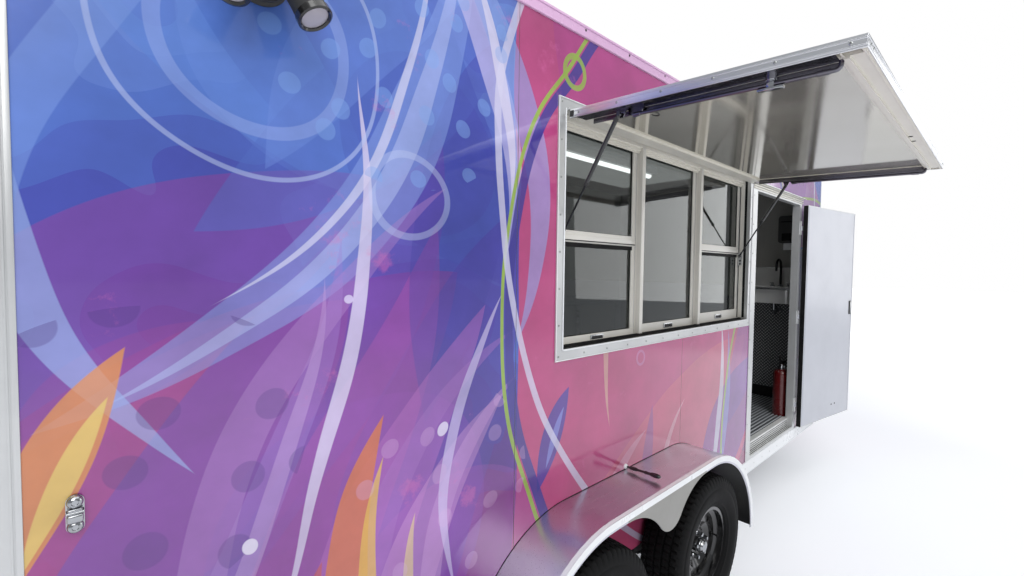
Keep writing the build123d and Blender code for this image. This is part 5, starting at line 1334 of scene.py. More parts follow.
@dataclass
class SideDoor:
    """The open side door, its frame and its hardware."""

    open_turn: float = 171.0
    thickness: float = 0.032
    width: float = 0.902
    outer: float = 0.010
    edge: float = 0.018
    height: float = 1.798
    gap: float = 0.005
    jambs: tuple[float, float] = (0.082, 0.052)
    latch_rise: float = 0.950
    hinge_shares: Point = (0.1, 0.5, 0.9)
    holes: tuple[float, float] = (-0.640, -0.575)

    def __post_init__(self) -> None:
        """Take the leaf's own frame from its hinge."""
        hinge = JOINTS["entry_door_hinge"]["pos_m"]
        self.hinge = Vector((hinge[0], hinge[1], 0.0))
        self.turn = Matrix.Translation(self.hinge) @ Matrix.Rotation(math.radians(self.open_turn), 4, "Z")
        self.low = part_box("entry_door")[0].z
        self.high = self.low + self.height
        self.inner = self.outer + self.thickness

    def build(self) -> None:
        """Dress the door and add its details."""
        dress(TRIM, "door_frame")
        dress(DOOR_SKIN, "entry_door")
        dress(BLACK_PLASTIC, "door_latch")
        self.leaf_trim()
        self.leaf_hardware()
        self.frame_trim()
        self.screws()

    def leaf_trim(self) -> None:
        """Add the leaf's edge extrusion and its seal."""
        right = -self.edge
        left = right - self.width
        low, high = self.low, self.high
        front, back = self.outer - 0.001, self.inner + 0.0015
        trim = Shape(self.turn)
        trim.box((left - 0.0005, front, low), (left + 0.0045, back, high), 0.001, 1)
        trim.box((left, front, high - 0.004), (right, back, high + 0.001), 0.001, 1)
        trim.box((left, front, low - 0.001), (right, back, low + 0.004), 0.001, 1)
        trim.piece("door_edge_trim", TRIM, "entry_door")
        edge = Shape(self.turn)
        edge.box((right - 0.003, front, low), (right + 0.0006, self.inner + 0.0012, high), 0.001, 1)
        edge.piece("door_hinge_gasket", GASKET_AND_PAINTED_SHADE, "entry_door")
        seal = Shape(self.turn)
        for x in (right - 0.020, left + 0.012):
            seal.rod((x, self.inner, low + 0.012), (x, self.inner, high - 0.012), 0.0030, 10)
        seal.piece("door_seal", DOOR_SKIN, "entry_door")

    def leaf_hardware(self) -> None:
        """Add the strike, the handle plate and the two small holes of the inner face."""
        left = -self.edge - self.width
        middle = self.low + self.latch_rise
        inner, outer = self.inner, self.outer
        plates = Shape(self.turn)
        plates.box((left + 0.030, inner + 0.004, middle - 0.055), (left + 0.046, inner + 0.0075, middle + 0.055), 0.001)
        plates.box((left - 0.0015, outer + 0.006, middle - 0.045), (left + 0.001, inner - 0.006, middle + 0.045), 0.001)
        plates.piece("door_strike", STAINLESS, "entry_door")
        holes = Shape(self.turn)
        z = self.low + 0.105
        for x in self.holes:
            holes.rod((x, inner - 0.001, z), (x, inner + 0.0012, z), 0.008, 16)
        holes.piece("door_holes", BLACK_PLASTIC, "entry_door")

    def frame_trim(self) -> None:
        """Add the header ribs, the threshold, the gasket and the hinge leaves."""
        low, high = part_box("door_frame")
        face = FLANGE_Y
        cream = Shape()
        for k in range(3):
            z = high.z - 0.026 - k * 0.015
            cream.box((low.x + 0.004, face - 0.012 + k * 0.002, z), (high.x - 0.004, face, z + 0.007), 0.002)
        cream.piece("door_header_ribs", CREAM)
        base, top = self.low - self.gap, self.high + self.gap
        self.threshold(low.x + self.jambs[0], high.x - self.jambs[1], base)
        gasket = Shape()
        inside = face + 0.044
        left, right = low.x + 0.077, high.x - 0.050
        gasket.rod((left + 0.002, inside, base), (left + 0.002, inside, top), 0.004, 10)
        gasket.rod((right - 0.002, inside, base), (right - 0.002, inside, top), 0.004, 10)
        gasket.rod((left, inside, top - 0.002), (right, inside, top - 0.002), 0.004, 10)
        gasket.piece("door_frame_gasket", GASKET_AND_PAINTED_SHADE)
        plates = Shape()
        for share in self.hinge_shares:
            z = self.low + self.height * share
            x = self.hinge.x
            plates.box((x - 0.004, face - 0.003, z - 0.050), (x + 0.040, face, z + 0.050), 0.0012)
        plates.piece("door_hinge_plates", WHITE)

    def threshold(self, left: float, right: float, base: float) -> None:
        """Add the ribs on the sill and the floor's edge, with the nosing over them, and dark strips between the ribs as
        painted shade.
        """
        face = FLANGE_Y
        edge_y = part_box("floor_deck")[0].y
        nose = FLOOR_Z - 0.004
        sill = Shape()
        for k in range(4):
            y = face + 0.003 + k * 0.0125
            sill.box((left, y, base - 0.001), (right, y + 0.0065, base + 0.0030), 0.001, 1)
        for k in range(4):
            z = base + 0.004 + k * 0.0155
            sill.box((left, edge_y - 0.0040, z), (right, edge_y, z + 0.010), 0.001, 1)
        sill.box((left, edge_y - 0.0040, nose), (right, edge_y + 0.034, FLOOR_Z + 0.003), 0.001, 1)
        sill.piece("door_sill_ribs", SILL)
        # The dark strips under and between the ribs are painted shade in the gaps between them.
        painted_groove_shade = Shape()
        painted_groove_shade.box((left, edge_y - 0.0006, base), (right, edge_y + 0.0001, nose))
        painted_groove_shade.box((left, face + 0.004, base - 0.001), (right, face + 0.046, base + 0.0008))
        painted_groove_shade.piece("door_sill_grooves", GASKET_AND_PAINTED_SHADE)

    def screws(self) -> None:
        """Add the frame's screws."""
        low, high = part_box("door_frame")
        y = FLANGE_Y
        out = (0, -1, 0)
        left, right = low.x + 0.026, high.x - 0.018
        runs = [
            Run((left, y, self.low + 0.04), (left, y, self.high - 0.03), out, 0.20),
            Run((right, y, self.low + 0.14), (right, y, self.high - 0.14), out, 0.25),
        ]
        fasten("door_screws", runs, ZINC, 0.0042, 0.42)


@dataclass
class Fenders:
    """The two fenders with their lips, skirts, liners and joint beads."""

    flat: float = 0.840
    radius: float = 0.520
    lip: float = 0.034
    sheet: float = 0.003
    steps: int = 14
    tip_radius: float = 0.110
    arch_radius: float = 0.320
    tip_drop: float = 0.186

    def __post_init__(self) -> None:
        """Read the fender's place from the frame."""
        low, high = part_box("fender_curb")
        self.middle = (low.x + high.x) / 2
        self.top = high.z
        self.out = -low.y
        self.low = low.z

    def outline(self, offset: float) -> list[tuple[float, float]]:
        """Return points along the bent top, a distance inside it, as (x, z)."""
        radius = self.radius - offset
        half = self.flat / 2
        turns = [math.pi / 2 * k / self.steps for k in range(self.steps + 1)]
        right = [(self.middle + half + radius * math.cos(a), self.low + radius * math.sin(a)) for a in turns]
        left = [(self.middle - half - radius * math.sin(a), self.low + radius * math.cos(a)) for a in turns]
        return right + left

    def band(self, shape: Shape, near: float, far: float, inner_y: float, outer_y: float, lift: float = 0.0) -> None:
        """Add a band that follows the top, between two distances inside it and two places across."""
        outside = self.outline(near - lift)
        inside = self.outline(far)
        shape.close([
            ((ax, inner_y, az), (ax, outer_y, az), (bx, outer_y, bz), (bx, inner_y, bz))
            for (ax, az), (bx, bz) in zip(outside, inside)
        ])

    def build(self) -> None:
        """Dress the fenders and add their details."""
        dress(MIRROR, "fender_curb", "fender_street")
        lip = Shape()
        skirt = Shape()
        liner = Shape()
        for side in (-1, 1):
            out = side * self.out
            self.band(lip, 0.0, 0.024, out, out + side * 0.0022, 0.0022)
            self.band(lip, -0.0022, 0.0006, out - side * 0.016, out + side * 0.001)
            self.skirt(skirt, side)
            wall, rim = side * (STREET_Y + 0.004), side * (self.out - 0.004)
            self.band(liner, self.sheet + 0.0004, self.sheet + 0.0024, wall, rim)
        lip.piece("fender_lips", WHITE, sharp=50.0)
        skirt.piece("fender_skirts", SOFFIT)
        liner.piece("fender_liners", BLACK_ENAMEL)
        joints = Shape()
        for side in (-1, 1):
            joints.tube([(x, side * (STREET_Y + 0.0005), z) for x, z in self.outline(-0.0006)], 0.0017, 8)
        joints.piece("fender_joint_beads", GASKET_AND_PAINTED_SHADE)

    def skirt(self, shape: Shape, side: int) -> None:
        """Add the painted face of the scalloped skirt over the sheet."""
        tip, arch = self.tip_radius, self.arch_radius
        arch_z = self.top - self.lip
        tip_z = self.top - self.tip_drop
        total = tip + arch
        reach = math.sqrt(total**2 - (total - (arch_z - tip_z)) ** 2)
        sweep = math.asin(reach / total)
        edge: list[tuple[float, float]] = []
        for k in range(self.steps + 1):
            a = sweep * k / self.steps
            edge.append((self.middle - reach + arch * math.sin(a), arch_z - arch + arch * math.cos(a)))
        for k in range(self.steps + 1):
            a = sweep - 2 * sweep * k / self.steps
            edge.append((self.middle - tip * math.sin(a), tip_z + tip - tip * math.cos(a)))
        for k in range(self.steps + 1):
            a = sweep * (1 - k / self.steps)
            edge.append((self.middle + reach - arch * math.sin(a), arch_z - arch + arch * math.cos(a)))
        near = side * self.out
        far = side * (self.out + 0.0012)
        top = self.top - 0.022
        low = [(x, min(z, top - 0.001)) for x, z in edge]
        shape.close([((x, near, top), (x, far, top), (x, far, z), (x, near, z)) for x, z in low])


@dataclass
class Wheels:
    """Four tyres with their tread, and the rims' nuts and caps."""

    radius: float = 0.3595
    rim: float = 0.1905
    half_width: float = 0.104
    pitches: int = 68
    per_pitch: int = 5
    lane: float = 0.037
    slant: float = 12.0
    slot_depth: float = 0.0075
    shoulder: float = 0.056
    nut_circle: float = 0.057
    nut_turn: float = 0.3
    nuts: int = 5
    valve_circle: float = 0.150

    def build(self) -> None:
        """Make each wheel's tyre and hardware."""
        for side_name, side in (("curb", -1), ("street", 1)):
            for axle in ("front", "rear"):
                body = f"wheel_{side_name}_{axle}"
                hub = JOINTS[f"{body}_spin"]["pos_m"]
                self.tyre(f"tyre_{side_name}_{axle}", tuple(hub), side, body)
                self.hardware(f"{body}_fittings", tuple(hub), side, body)
                dress(WHEEL_ENAMEL, body)

    def section(self) -> list[tuple[float, float, float]]:
        """Return the tyre's section as (across, radius, how far a groove may cut)."""
        r, w = self.radius, self.half_width
        side = [
            (0.068, self.rim + 0.0005, 0),
            (0.072, self.rim + 0.010, 0),
            (0.083, self.rim + 0.016, 0),
            (0.089, self.rim + 0.028, 0),
            (0.092, self.rim + 0.031, 0),
            (0.092, self.rim + 0.037, 0),
            (0.096, self.rim + 0.048, 0),
            (0.101, self.rim + 0.066, 0),
            (0.1035, self.rim + 0.082, 0),
            (w, self.rim + 0.092, 0),
            (0.1035, self.rim + 0.104, 0),
            (0.1018, self.rim + 0.107, 0),
            (0.1018, self.rim + 0.111, 0),
            (0.1022, self.rim + 0.114, 0),
            (0.1005, self.rim + 0.130, 0.3),
            (0.0965, r - 0.0240, 0.7),
            (0.0915, r - 0.0125, 1.0),
            (0.0850, r - 0.0068, 1.0),
            (0.0720, r - 0.0042, 1.0),
            (0.0600, r - 0.0030, 1.0),
            (0.0585, r - 0.0105, 0),
            (0.0520, r - 0.0105, 0),
            (0.0505, r - 0.0022, 0.8),
            (0.0360, r - 0.0014, 0.8),
            (0.0230, r - 0.0010, 0.8),
            (0.0215, r - 0.0098, 0),
            (0.0150, r - 0.0098, 0),
            (0.0135, r - 0.0006, 0.6),
            (0.0000, r - 0.0002, 0.6),
        ]
        return side + [(-a, b, c) for a, b, c in reversed(side[:-1])]

    def tyre(self, name: str, hub: Point, side: int, body: str) -> None:
        """Make one tyre with ribs, slots and shoulder blocks."""
        shape = Shape()
        section = self.section()
        total = self.pitches * self.per_pitch
        rings = []
        for k in range(total):
            ring = []
            for across, radius, cut in section:
                lane = int((across + self.half_width) / self.lane)
                shift = lane * 2 + (1 if abs(across) > self.shoulder else 0)
                notch = (k + shift) % self.per_pitch == 0
                a = math.tau * (k + abs(across) * self.slant * (cut > 0)) / total
                r = radius - (self.slot_depth * cut if notch else 0.0)
                ring.append(
                    shape.mesh.verts.new(
                        Vector((hub[0] + r * math.cos(a), hub[1] + across * side, hub[2] + r * math.sin(a)))
                    )
                )
            rings.append(ring)
        for k in range(total):
            near, far = rings[k], rings[(k + 1) % total]
            for n in range(len(section) - 1):
                shape.mesh.faces.new((near[n], near[n + 1], far[n + 1], far[n]))
            shape.mesh.faces.new((near[-1], near[0], far[0], far[-1]))
        shape.piece(f"{name}_tread", TYRE, body, (name,), 32.0)

    def hardware(self, name: str, hub: Point, side: int, body: str) -> None:
        """Add lug nuts, a grease cap and a valve."""
        shape = Shape()
        out = (0.0, float(side), 0.0)
        face = hub[1] + side * 0.032
        for k in range(self.nuts):
            a = math.tau * k / self.nuts + self.nut_turn
            x = hub[0] + self.nut_circle * math.cos(a)
            z = hub[2] + self.nut_circle * math.sin(a)
            base = (x, hub[1] + side * 0.018, z)
            shape.lathe([(0.0135, 0.0), (0.0135, 0.004), (0.0105, 0.008)], base, out, 16)
            shape.lathe([(0.0105, 0.008), (0.0108, 0.026), (0.0090, 0.034), (0.0, 0.036)], base, out, 6)
        cap = [(0.034, 0.0), (0.034, 0.018), (0.031, 0.022), (0.026, 0.036), (0.016, 0.042), (0.0, 0.043)]
        shape.lathe(cap, (hub[0], face - side * 0.004, hub[2]), out, 32)
        shape.piece(name, CHROME, body)
        valve = Shape()
        x = hub[0] + self.valve_circle
        valve.rod((x, hub[1] + side * 0.034, hub[2]), (x - 0.006, hub[1] + side * 0.066, hub[2]), 0.0045, 12)
        valve.piece(f"{name}_valve", GASKET_AND_PAINTED_SHADE, body)


@dataclass
class Fittings:
    """Spotlights, catch and peg on the curb wall, and the lamps, by how far they are along and up the body."""

    spot: tuple[float, float] = (0.425, 2.015)
    catch: tuple[float, float] = (0.108, 0.908)
    peg_rise: float = 0.474
    lamp_inset: float = 0.200
    lamp_rise: float = 0.095

    def build(self) -> None:
        """Dress the fittings and add their details."""
        dress(BLACK_PLASTIC, "spotlights")
        dress(RED_LENS, "lamps")
        self.spot_details()
        self.catch_details()
        self.lamp_bezels()

    def spot_details(self) -> None:
        """Add the bezels, lenses and cooling fins of the two heads."""
        x = BODY_REAR_X + self.spot[0]
        z = WALL_LOW + self.spot[1]
        bezels = Shape()
        lenses = Shape()
        fins = Shape()
        base = (x, FLANGE_Y, z)
        fins.lathe([(0.0, 0.0), (0.063, 0.0), (0.063, 0.004), (0.058, 0.010)], base, (0, -1, 0), 40)
        for side in (-1, 1):
            tip = Vector((x + side * 0.080, CURB_Y - 0.122, z - 0.105))
            back = Vector((x + side * 0.030, CURB_Y - 0.070, z + 0.022))
            aim = (tip - back).normalized()
            rim = [(0.0355, -0.012), (0.0385, -0.010), (0.0385, 0.004)]
            lip = [(0.034, 0.0065), (0.030, 0.003), (0.029, -0.004)]
            bezels.lathe(rim + lip, tuple(tip), tuple(aim), 40)
            lens = [(0.030, 0.0005), (0.022, 0.0030), (0.010, 0.0042), (0.0, 0.0045)]
            lenses.lathe(lens, tuple(tip), tuple(aim), 32)
            fin = [(0.0348, 0.0), (0.0385, 0.0008), (0.0385, 0.0030), (0.0348, 0.0038)]
            for k in range(6):
                fins.lathe(fin, tuple(back + aim * (0.010 + k * 0.009)), tuple(aim), 40)
            joint = [(0.0, -0.013), (0.012, -0.013), (0.014, -0.006), (0.014, 0.006), (0.012, 0.013), (0.0, 0.013)]
            fins.lathe(joint, (x + side * 0.038, CURB_Y - 0.058, z - 0.006), (1, 0, 0), 24)
        bezels.piece("spot_bezels", WHEEL_ENAMEL)
        lenses.piece("spot_lenses", SPOT_LENS)
        fins.piece("spot_fins", BLACK_PLASTIC)

    def catch_details(self) -> None:
        """Make the catch, with its round-ended plate, bosses, jaw and slot."""
        x = BODY_REAR_X + self.catch[0]
        y = CURB_Y
        z = WALL_LOW + self.catch[1]
        turns = [math.pi * k / 12 for k in range(13)]
        upper = [(0.013 * math.cos(a), 0.023 + 0.013 * math.sin(a)) for a in turns]
        catch = Shape()
        catch.prism(upper + [(-a, -b) for a, b in upper], (x, y, z), (0, -0.005, 0), (1, 0, 0))
        for rise in (-0.023, 0.023):
            boss = [(0.0122, 0.0), (0.0118, 0.004), (0.0095, 0.0075), (0.0052, 0.0090), (0.0045, 0.0068), (0.0, 0.0066)]
            catch.lathe(boss, (x, y - 0.005, z + rise), (0, -1, 0), 28)
        catch.box((x - 0.0115, y - 0.018, z - 0.013), (x + 0.0115, y - 0.004, z + 0.002), 0.004, 3)
        catch.box((x - 0.0105, y - 0.015, z + 0.006), (x + 0.0105, y - 0.004, z + 0.012), 0.0025, 3)
        catch.rod((x - 0.0125, y - 0.012, z + 0.004), (x + 0.0125, y - 0.012, z + 0.004), 0.0028, 14)
        catch.piece("catch", CHROME, "chassis", ("wall_fittings",))
        slot = Shape()
        slot.box((x - 0.0118, y - 0.013, z + 0.0015), (x + 0.0118, y - 0.005, z + 0.0065))
        slot.piece("catch_slot", GASKET_AND_PAINTED_SHADE)
        self.peg()

    def peg(self) -> None:
        """Make the turned peg over the fender, with its bright foot."""
        low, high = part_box("fender_curb")
        start = ((low.x + high.x) / 2, CURB_Y, WALL_LOW + self.peg_rise)
        run = (0, -0.172, 0.008)
        turned = [
            (0.0, 0.0), (0.0050, 0.0), (0.0050, 0.020), (0.0078, 0.030), (0.0088, 0.045), (0.0078, 0.058),
            (0.0052, 0.068), (0.0052, 0.098), (0.0075, 0.106), (0.0062, 0.118), (0.0062, 0.126), (0.0090, 0.136),
            (0.0100, 0.148), (0.0100, 0.160), (0.0085, 0.170), (0.0050, 0.176), (0.0, 0.178),
        ]
        peg = Shape()
        peg.lathe(turned, start, run, 24)
        peg.piece("wall_peg", STRUT_BLACK)
        foot = Shape()
        stepped = [(0.0115, 0.0), (0.0115, 0.004), (0.0095, 0.007), (0.0062, 0.008), (0.0062, 0.012), (0.0, 0.0125)]
        foot.lathe(stepped, start, run, 28)
        foot.piece("wall_peg_foot", WHITE)

    def lamp_bezels(self) -> None:
        """Add the rims round the lamps."""
        rims = Shape()
        for side in (-1, 1):
            y = side * (STREET_Y - self.lamp_inset)
            z = WALL_LOW + self.lamp_rise
            rims.box((BODY_REAR_X - 0.006, y - 0.089, z - 0.034), (BODY_REAR_X, y + 0.089, z + 0.034), 0.004, 3)
        rims.piece("lamp_rims", GASKET_AND_PAINTED_SHADE)


@dataclass
class Cabin:
    """What shows inside through the window and the doors."""

    plate_height: float = 0.960
    rib_pitch: float = 0.030
    lozenge_pitch: float = 0.030
    sink_height: float = 1.070
    shelf_rise: float = 0.280
    cove_height: float = 0.100
    bottle_inset: float = 0.060

    def build(self) -> None:
        """Dress the cabin and add its details."""
        dress(FLOOR_VINYL_PAINTED_SHADE, "floor_deck")
        dress(SINK_STEEL, "hand_sink")
        dress(STAINLESS, "work_counter")
        dress(BLACK_PLASTIC, "dispenser")
        dress(RED, "extinguisher")
        dress(LAMP_BODY, "ceiling_lamp")
        self.floor_ribs()
        self.cove()
        self.tread_plate()
        self.sink_details()
        self.dispenser_details()
        self.counter_details()
        self.extinguisher()
        self.lamp()

    def sink_details(self) -> None:
        """Add the sink's edges, tap, drain and trap."""
        low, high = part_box("hand_sink")
        middle = (low.y + high.y) / 2
        base = low.z
        rim_top = FLOOR_Z + self.sink_height
        parts = Shape()
        parts.box((low.x - 0.003, low.y, rim_top - 0.020), (low.x + 0.004, high.y, rim_top + 0.003), 0.002)
        for y in (low.y, high.y):
            parts.box((low.x, y - 0.003, rim_top - 0.020), (high.x, y + 0.003, rim_top + 0.003), 0.002)
        parts.box((high.x - 0.016, low.y, rim_top + 0.174), (high.x, high.y, rim_top + 0.180), 0.0025)
        parts.piece("sink_edges", STAINLESS)
        bright = Shape()
        tap_x = high.x - 0.034
        up = (0, 0, 1)
        foot = [(0.026, 0.0), (0.026, 0.006), (0.018, 0.012), (0.0095, 0.020)]
        bright.lathe(foot, (tap_x, middle, rim_top), up, 28)
        valve = [(0.021, 0.0), (0.021, 0.006), (0.011, 0.014), (0.011, 0.036), (0.0, 0.038)]
        for y in (middle - 0.070, middle + 0.070):
            bright.lathe(valve, (tap_x, y, rim_top), up, 24)
            bright.box((tap_x - 0.056, y - 0.007, rim_top + 0.028), (tap_x + 0.006, y + 0.007, rim_top + 0.037), 0.003)
        drain_x = (low.x + high.x) / 2
        bright.lathe([(0.0, 0.002), (0.028, 0.002), (0.034, 0.0)], (drain_x, middle, rim_top - 0.128), up, 32)
        trap = [(drain_x, 0.0), (drain_x, 0.060), (drain_x + 0.04, 0.095), (drain_x + 0.08, 0.070), (high.x, 0.070)]
        bright.tube([(x, middle, base - drop) for x, drop in trap], 0.016, 20)
        bright.piece("sink_fittings", CHROME)
        spout = Shape()
        bend, top = 0.062, rim_top + 0.188
        turns = [math.pi * k / 12 for k in range(13)]
        path = [(tap_x, middle, rim_top + 0.004)]
        path += [(tap_x - bend + bend * math.cos(a), middle, top + bend * math.sin(a)) for a in turns]
        path += [(tap_x - 2 * bend, middle, top - 0.046)]
        spout.tube(path, 0.0098, 20)
        spout.piece("sink_spout", ROD_BLACK)

    def dispenser_details(self) -> None:
        """Add the dispenser's lever, its lip and the sheet of paper that hangs out."""
        near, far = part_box("dispenser")
        x, base = near.x, near.z
        pad = Shape()
        pad.box((x - 0.006, near.y + 0.030, base + 0.020), (x + 0.004, far.y - 0.030, base + 0.090), 0.006)
        pad.box((x - 0.003, near.y + 0.016, far.z - 0.060), (x + 0.004, far.y - 0.016, far.z - 0.050), 0.002)
        pad.piece("dispenser_lever", GASKET_AND_PAINTED_SHADE)
        towel = Shape()
        towel.box((x + 0.020, near.y + 0.040, base - 0.062), (x + 0.024, far.y - 0.040, base + 0.004), 0.001)
        towel.piece("dispenser_towel", WHITE)

    def counter_details(self) -> None:
        """Add the counter's rolled front, its feet and the shelf's lips."""
        low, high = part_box("work_counter")
        edge = Shape()
        edge.rod((low.x, low.y, high.z - 0.019), (high.x, low.y, high.z - 0.019), 0.0195, 28, 0.004)
        shelf = low.z + self.shelf_rise
        edge.box((low.x + 0.030, low.y + 0.026, shelf - 0.020), (high.x - 0.030, low.y + 0.034, shelf + 0.006), 0.002)
        for x in (low.x + 0.049, high.x - 0.049):
            for y in (low.y + 0.049, high.y - 0.049):
                edge.lathe([(0.026, 0.0), (0.026, 0.006), (0.021, 0.012), (0.021, 0.060)], (x, y, low.z), (0, 0, 1), 20)
        edge.piece("counter_edges", STAINLESS)

    def floor_ribs(self) -> None:
        """Add the ribs that run along the floor, paler than the deck as painted highlight."""
        low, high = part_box("floor_deck")
        shape = Shape()
        count = int((high.y - low.y - 0.04) / self.rib_pitch)
        for k in range(count + 1):
            y = low.y + 0.02 + k * self.rib_pitch
            outline = [(-0.006, 0.0), (-0.004, 0.0028), (0.004, 0.0028), (0.006, 0.0)]
            shape.prism(outline, (low.x + 0.05, y, high.z), (high.x - low.x - 0.06, 0, 0), (0, 1, 0))
        shape.piece("floor_ribs", FLOOR_RIB_PAINTED_HIGHLIGHT)

    def cove(self) -> None:
        """Add the rubber cove where the walls meet the floor."""
        shape = Shape()
        x, y = FRONT_INNER_X, INNER_STREET_Y
        top = FLOOR_Z + self.cove_height
        shape.box((x - 0.007, INNER_CURB_Y + 0.004, FLOOR_Z), (x - 0.0005, y - 0.004, top), 0.002)
        shape.box((BODY_REAR_X + 0.06, y - 0.007, FLOOR_Z), (x - 0.01, y - 0.0005, top), 0.002)
        shape.piece("cove_base", COVE)

    def tread_plate(self) -> None:
        """Add the lower wall plate with raised lozenges, the plate darker as painted shade and the lozenges paler as
        painted highlight.
        """
        plate = Shape()
        shape = Shape()
        x = FRONT_INNER_X - 0.0005
        low_y, high_y = INNER_CURB_Y + 0.006, INNER_CURB_Y + 0.780
        low_z = FLOOR_Z + 0.098
        plate.box((x - 0.002, low_y, low_z), (x, high_y, low_z + self.plate_height - 0.1))
        rows = int((self.plate_height - 0.12) / (self.lozenge_pitch / 2))
        columns = int((high_y - low_y) / self.lozenge_pitch)
        for row in range(rows):
            z = low_z + 0.012 + row * self.lozenge_pitch / 2
            for column in range(columns):
                y = low_y + 0.012 + (column + 0.5 * (row % 2)) * self.lozenge_pitch
                if y > high_y - 0.010:
                    continue
                lean = 1 if (row + column) % 2 else -1
                self.lozenge(shape, Vector((x - 0.002, y, z)), lean)
        plate.piece("tread_plate", TREAD_PLATE_PAINTED_SHADE)
        shape.piece("tread_lozenges", LOZENGE_PAINTED_HIGHLIGHT, sharp=60.0)

    def lozenge(self, shape: Shape, at: Vector, lean: int) -> None:
        """Add one raised lozenge on a plate that faces -X."""
        long, wide, rise = 0.0105, 0.0034, 0.0014
        along = Vector((0, math.cos(0.785), lean * math.sin(0.785)))
        across = Vector((0, -along.z, along.y))
        rim = [at + along * long, at + across * wide, at - along * long, at - across * wide]
        top = at + Vector((-rise, 0, 0))
        ridge = [top + along * long * 0.45, top - along * long * 0.45]
        corners = [shape.mesh.verts.new(p) for p in rim + ridge]
        a, b, c, d, e, f = corners
        for face in ((a, b, e), (b, c, f, e), (c, d, f), (d, a, e, f)):
            shape.mesh.faces.new(face)

    def extinguisher(self) -> None:
        """Add the extinguisher's neck, levers, gauge and hose."""
        low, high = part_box("extinguisher")
        x = low.x + self.bottle_inset
        y = (low.y + high.y) / 2
        z = high.z
        neck = [(0.024, 0.0), (0.025, 0.010), (0.0185, 0.014), (0.0185, 0.046), (0.0, 0.047)]
        head = Shape()
        head.lathe(neck, (x, y, z - 0.066), (0, 0, 1), 24)
        head.box((x - 0.010, y - 0.008, z - 0.040), (x + 0.070, y + 0.008, z - 0.034), 0.003)
        head.rod((x, y - 0.018, z - 0.040), (x, y - 0.030, z - 0.040), 0.015, 20)
        head.piece("extinguisher_head", CHROME)
        hose = Shape()
        points = []
        for k in range(15):
            a = math.pi * k / 14
            points.append((x - 0.016 - 0.034 * math.sin(a), y + 0.012, z - 0.038 - 0.24 * k / 14))
        hose.tube(points, 0.0075, 12)
        hose.box((x - 0.018, y - 0.010, z - 0.0185), (x + 0.086, y + 0.010, z + 0.002), 0.003)
        for lever in (
            ((0.010, 0.0), (0.034, 0.016), (0.050, 0.046), (0.030, 0.060)),
            ((0.008, -0.030), (0.040, -0.026), (0.066, -0.052)),
        ):
            hose.tube([(x - back, y, z + rise) for back, rise in lever], 0.007, 10)
        hose.piece("extinguisher_hose", GASKET_AND_PAINTED_SHADE)

    def lamp(self) -> None:
        """Add the ceiling lamp's lit tubes."""
        low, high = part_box("ceiling_lamp")
        shape = Shape()
        middle = (low.x + high.x) / 2
        for start, end in ((low.x + 0.40, middle - 0.01), (middle + 0.01, high.x - 0.02)):
            shape.rod((start, 0, low.z - 0.004), (end, 0, low.z - 0.006), 0.022, 24, 0.010)
        shape.piece("lamp_tubes", TUBE_GLOW)


@dataclass
class Chassis:
    """Frame, axles, tongue, jack and coupler."""

    def build(self) -> None:
        """Dress the chassis."""
        dress(BLACK_ENAMEL, "main_frame", "tongue_frame", "axle_beams", "leaf_springs", "spring_hangers")
        dress(ZINC, "coupler", "jack_tube", "jack_leg")


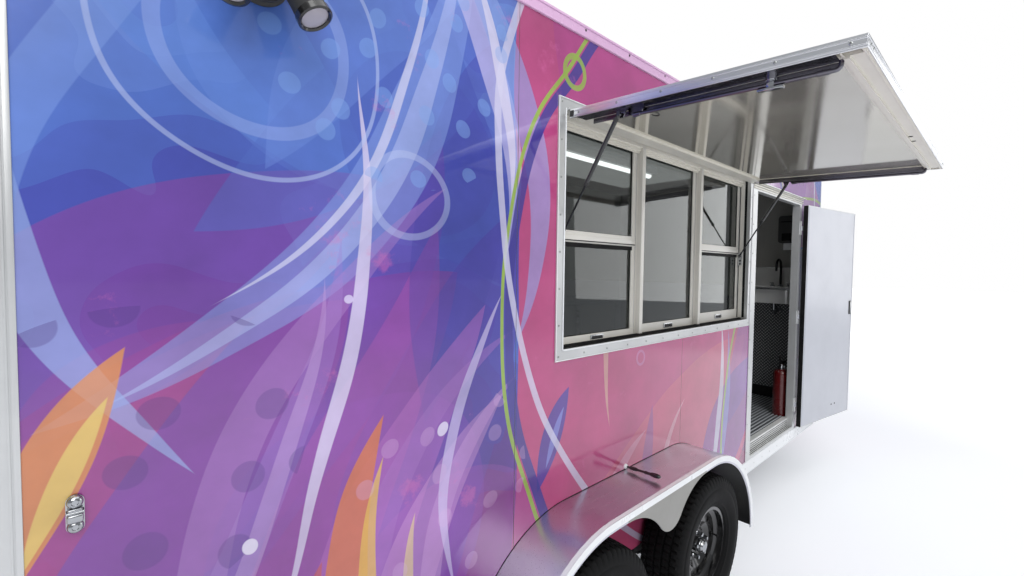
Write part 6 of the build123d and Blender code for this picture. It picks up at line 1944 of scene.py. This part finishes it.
@dataclass
class Studio:
    """Camera, floor and light."""

    place: Point = (-5.9442, -2.2328, 1.7419)
    yaw: float = 47.04
    pitch: float = 2.298
    roll: float = 0.679
    focal_pixels: float = 461.69
    frame_pixels: float = 1024.0
    sensor: float = 36.0
    middle_x: float = -3.6
    fade_start: float = 4.5
    fade_run: float = 9.0
    sky: Point = (0.93, 0.96, 1.0)
    sky_strength: float = 0.41

    def build(self) -> None:
        """Make the camera, the floor, the world and the lamps."""
        self.camera()
        self.floor()
        self.world()
        self.lamps()
        bpy.context.scene.view_settings.view_transform = "Standard"

    def camera(self) -> None:
        """Stand the camera where the photograph was taken from."""
        yaw, pitch, roll = (math.radians(v) for v in (self.yaw, self.pitch, self.roll))
        ahead = Vector((math.cos(pitch) * math.cos(yaw), math.cos(pitch) * math.sin(yaw), -math.sin(pitch)))
        level = Vector((math.sin(yaw), -math.cos(yaw), 0.0))
        upright = level.cross(ahead)
        right = level * math.cos(roll) + upright * math.sin(roll)
        up = right.cross(ahead)
        turn = Matrix((right, up, -ahead)).transposed().to_4x4()
        data = bpy.data.cameras.new("camera")
        data.sensor_width = self.sensor
        data.lens = self.focal_pixels * self.sensor / self.frame_pixels
        data.clip_end = 200.0
        camera = bpy.data.objects.new("camera", data)
        camera.matrix_world = Matrix.Translation(self.place) @ turn
        bpy.context.scene.collection.objects.link(camera)
        bpy.context.scene.camera = camera

    def floor(self) -> None:
        """Lay a plain pale floor."""
        shape = Shape()
        reach = 60.0
        corners = [(-reach, -reach), (reach, -reach), (reach, reach), (-reach, reach)]
        shape.mesh.faces.new([shape.mesh.verts.new((x, y, -0.001)) for x, y in corners])
        data = bpy.data.meshes.new("floor")
        shape.mesh.to_mesh(data)
        shape.mesh.free()
        graph = Graph("pale_floor")
        x, y, _ = graph.split(graph.place())
        x = x - self.middle_x
        far = (((x * x + y * y).maths("SQRT") - self.fade_start) / self.fade_run).maths("MULTIPLY", 1.0, clamp=True)
        seen = far * graph.value("ShaderNodeLightPath", {}, {})
        graph.set(
            Base_Color=graph.mix(graph.noise(0.6, 4.0), colour("f0f1f4"), colour("e6e7ea")),
            Roughness=0.85,
            Emission_Color=graph.mix(seen, colour("8e9094"), colour("ffffff")),
            Emission_Strength=1.0,
        )
        data.materials.append(graph.material)
        floor = bpy.data.objects.new("floor", data)
        bpy.context.scene.collection.objects.link(floor)

    def world(self) -> None:
        """Light evenly from all round, and show white to the camera and through glass."""
        world = bpy.data.worlds.new("studio")
        world.use_nodes = True
        bpy.context.scene.world = world
        nodes, links = world.node_tree.nodes, world.node_tree.links
        nodes.clear()
        rays = nodes.new("ShaderNodeLightPath")
        soft = nodes.new("ShaderNodeBackground")
        soft.inputs["Color"].default_value = (*self.sky, 1.0)
        soft.inputs["Strength"].default_value = self.sky_strength
        seen = nodes.new("ShaderNodeBackground")
        seen.inputs["Color"].default_value = (1.0, 1.0, 1.0, 1.0)
        seen.inputs["Strength"].default_value = 1.0
        mix = nodes.new("ShaderNodeMixShader")
        output = nodes.new("ShaderNodeOutputWorld")
        first = nodes.new("ShaderNodeMath")
        first.operation = "MAXIMUM"
        links.new(rays.outputs["Is Camera Ray"], first.inputs[0])
        links.new(rays.outputs["Is Transmission Ray"], first.inputs[1])
        links.new(first.outputs[0], mix.inputs[0])
        links.new(soft.outputs[0], mix.inputs[1])
        links.new(seen.outputs[0], mix.inputs[2])
        links.new(mix.outputs[0], output.inputs[0])

    def area(self, name: str, place: Point, aim: Point, size: tuple[float, float], power: float) -> None:
        """Add one soft rectangular lamp that points at a place."""
        data = bpy.data.lights.new(name, "AREA")
        data.shape = "RECTANGLE"
        data.size, data.size_y = size
        data.energy = power
        lamp = bpy.data.objects.new(name, data)
        lamp.location = place
        lamp.rotation_euler = (Vector(aim) - Vector(place)).to_track_quat("-Z", "Y").to_euler()
        bpy.context.scene.collection.objects.link(lamp)

    def lamps(self) -> None:
        """Hang the soft lamps outside, and one in the cabin."""
        middle = (self.middle_x, -1.0, 1.2)
        self.area("key", (-8.0, -6.5, 6.5), middle, (5.0, 5.0), 300.0)
        self.area("sky", (-3.0, -4.0, 9.0), middle, (9.0, 7.0), 270.0)
        self.area("fill", (3.5, -5.0, 3.0), middle, (4.0, 4.0), 90.0)
        self.area("cabin", (self.middle_x, 0.0, WALL_TOP - 0.10), (self.middle_x, 0.0, 0.0), (3.2, 0.8), 2.4)


def main() -> None:
    """Build the trailer's looks and the studio."""
    logging.basicConfig(level=logging.INFO, format="%(message)s")
    for part in (Body, ServingWindow, Awning, Struts, SideDoor, Fenders, Wheels, Fittings, Cabin, Chassis, Studio):
        part().build()


if __name__ == "__main__":
    main()
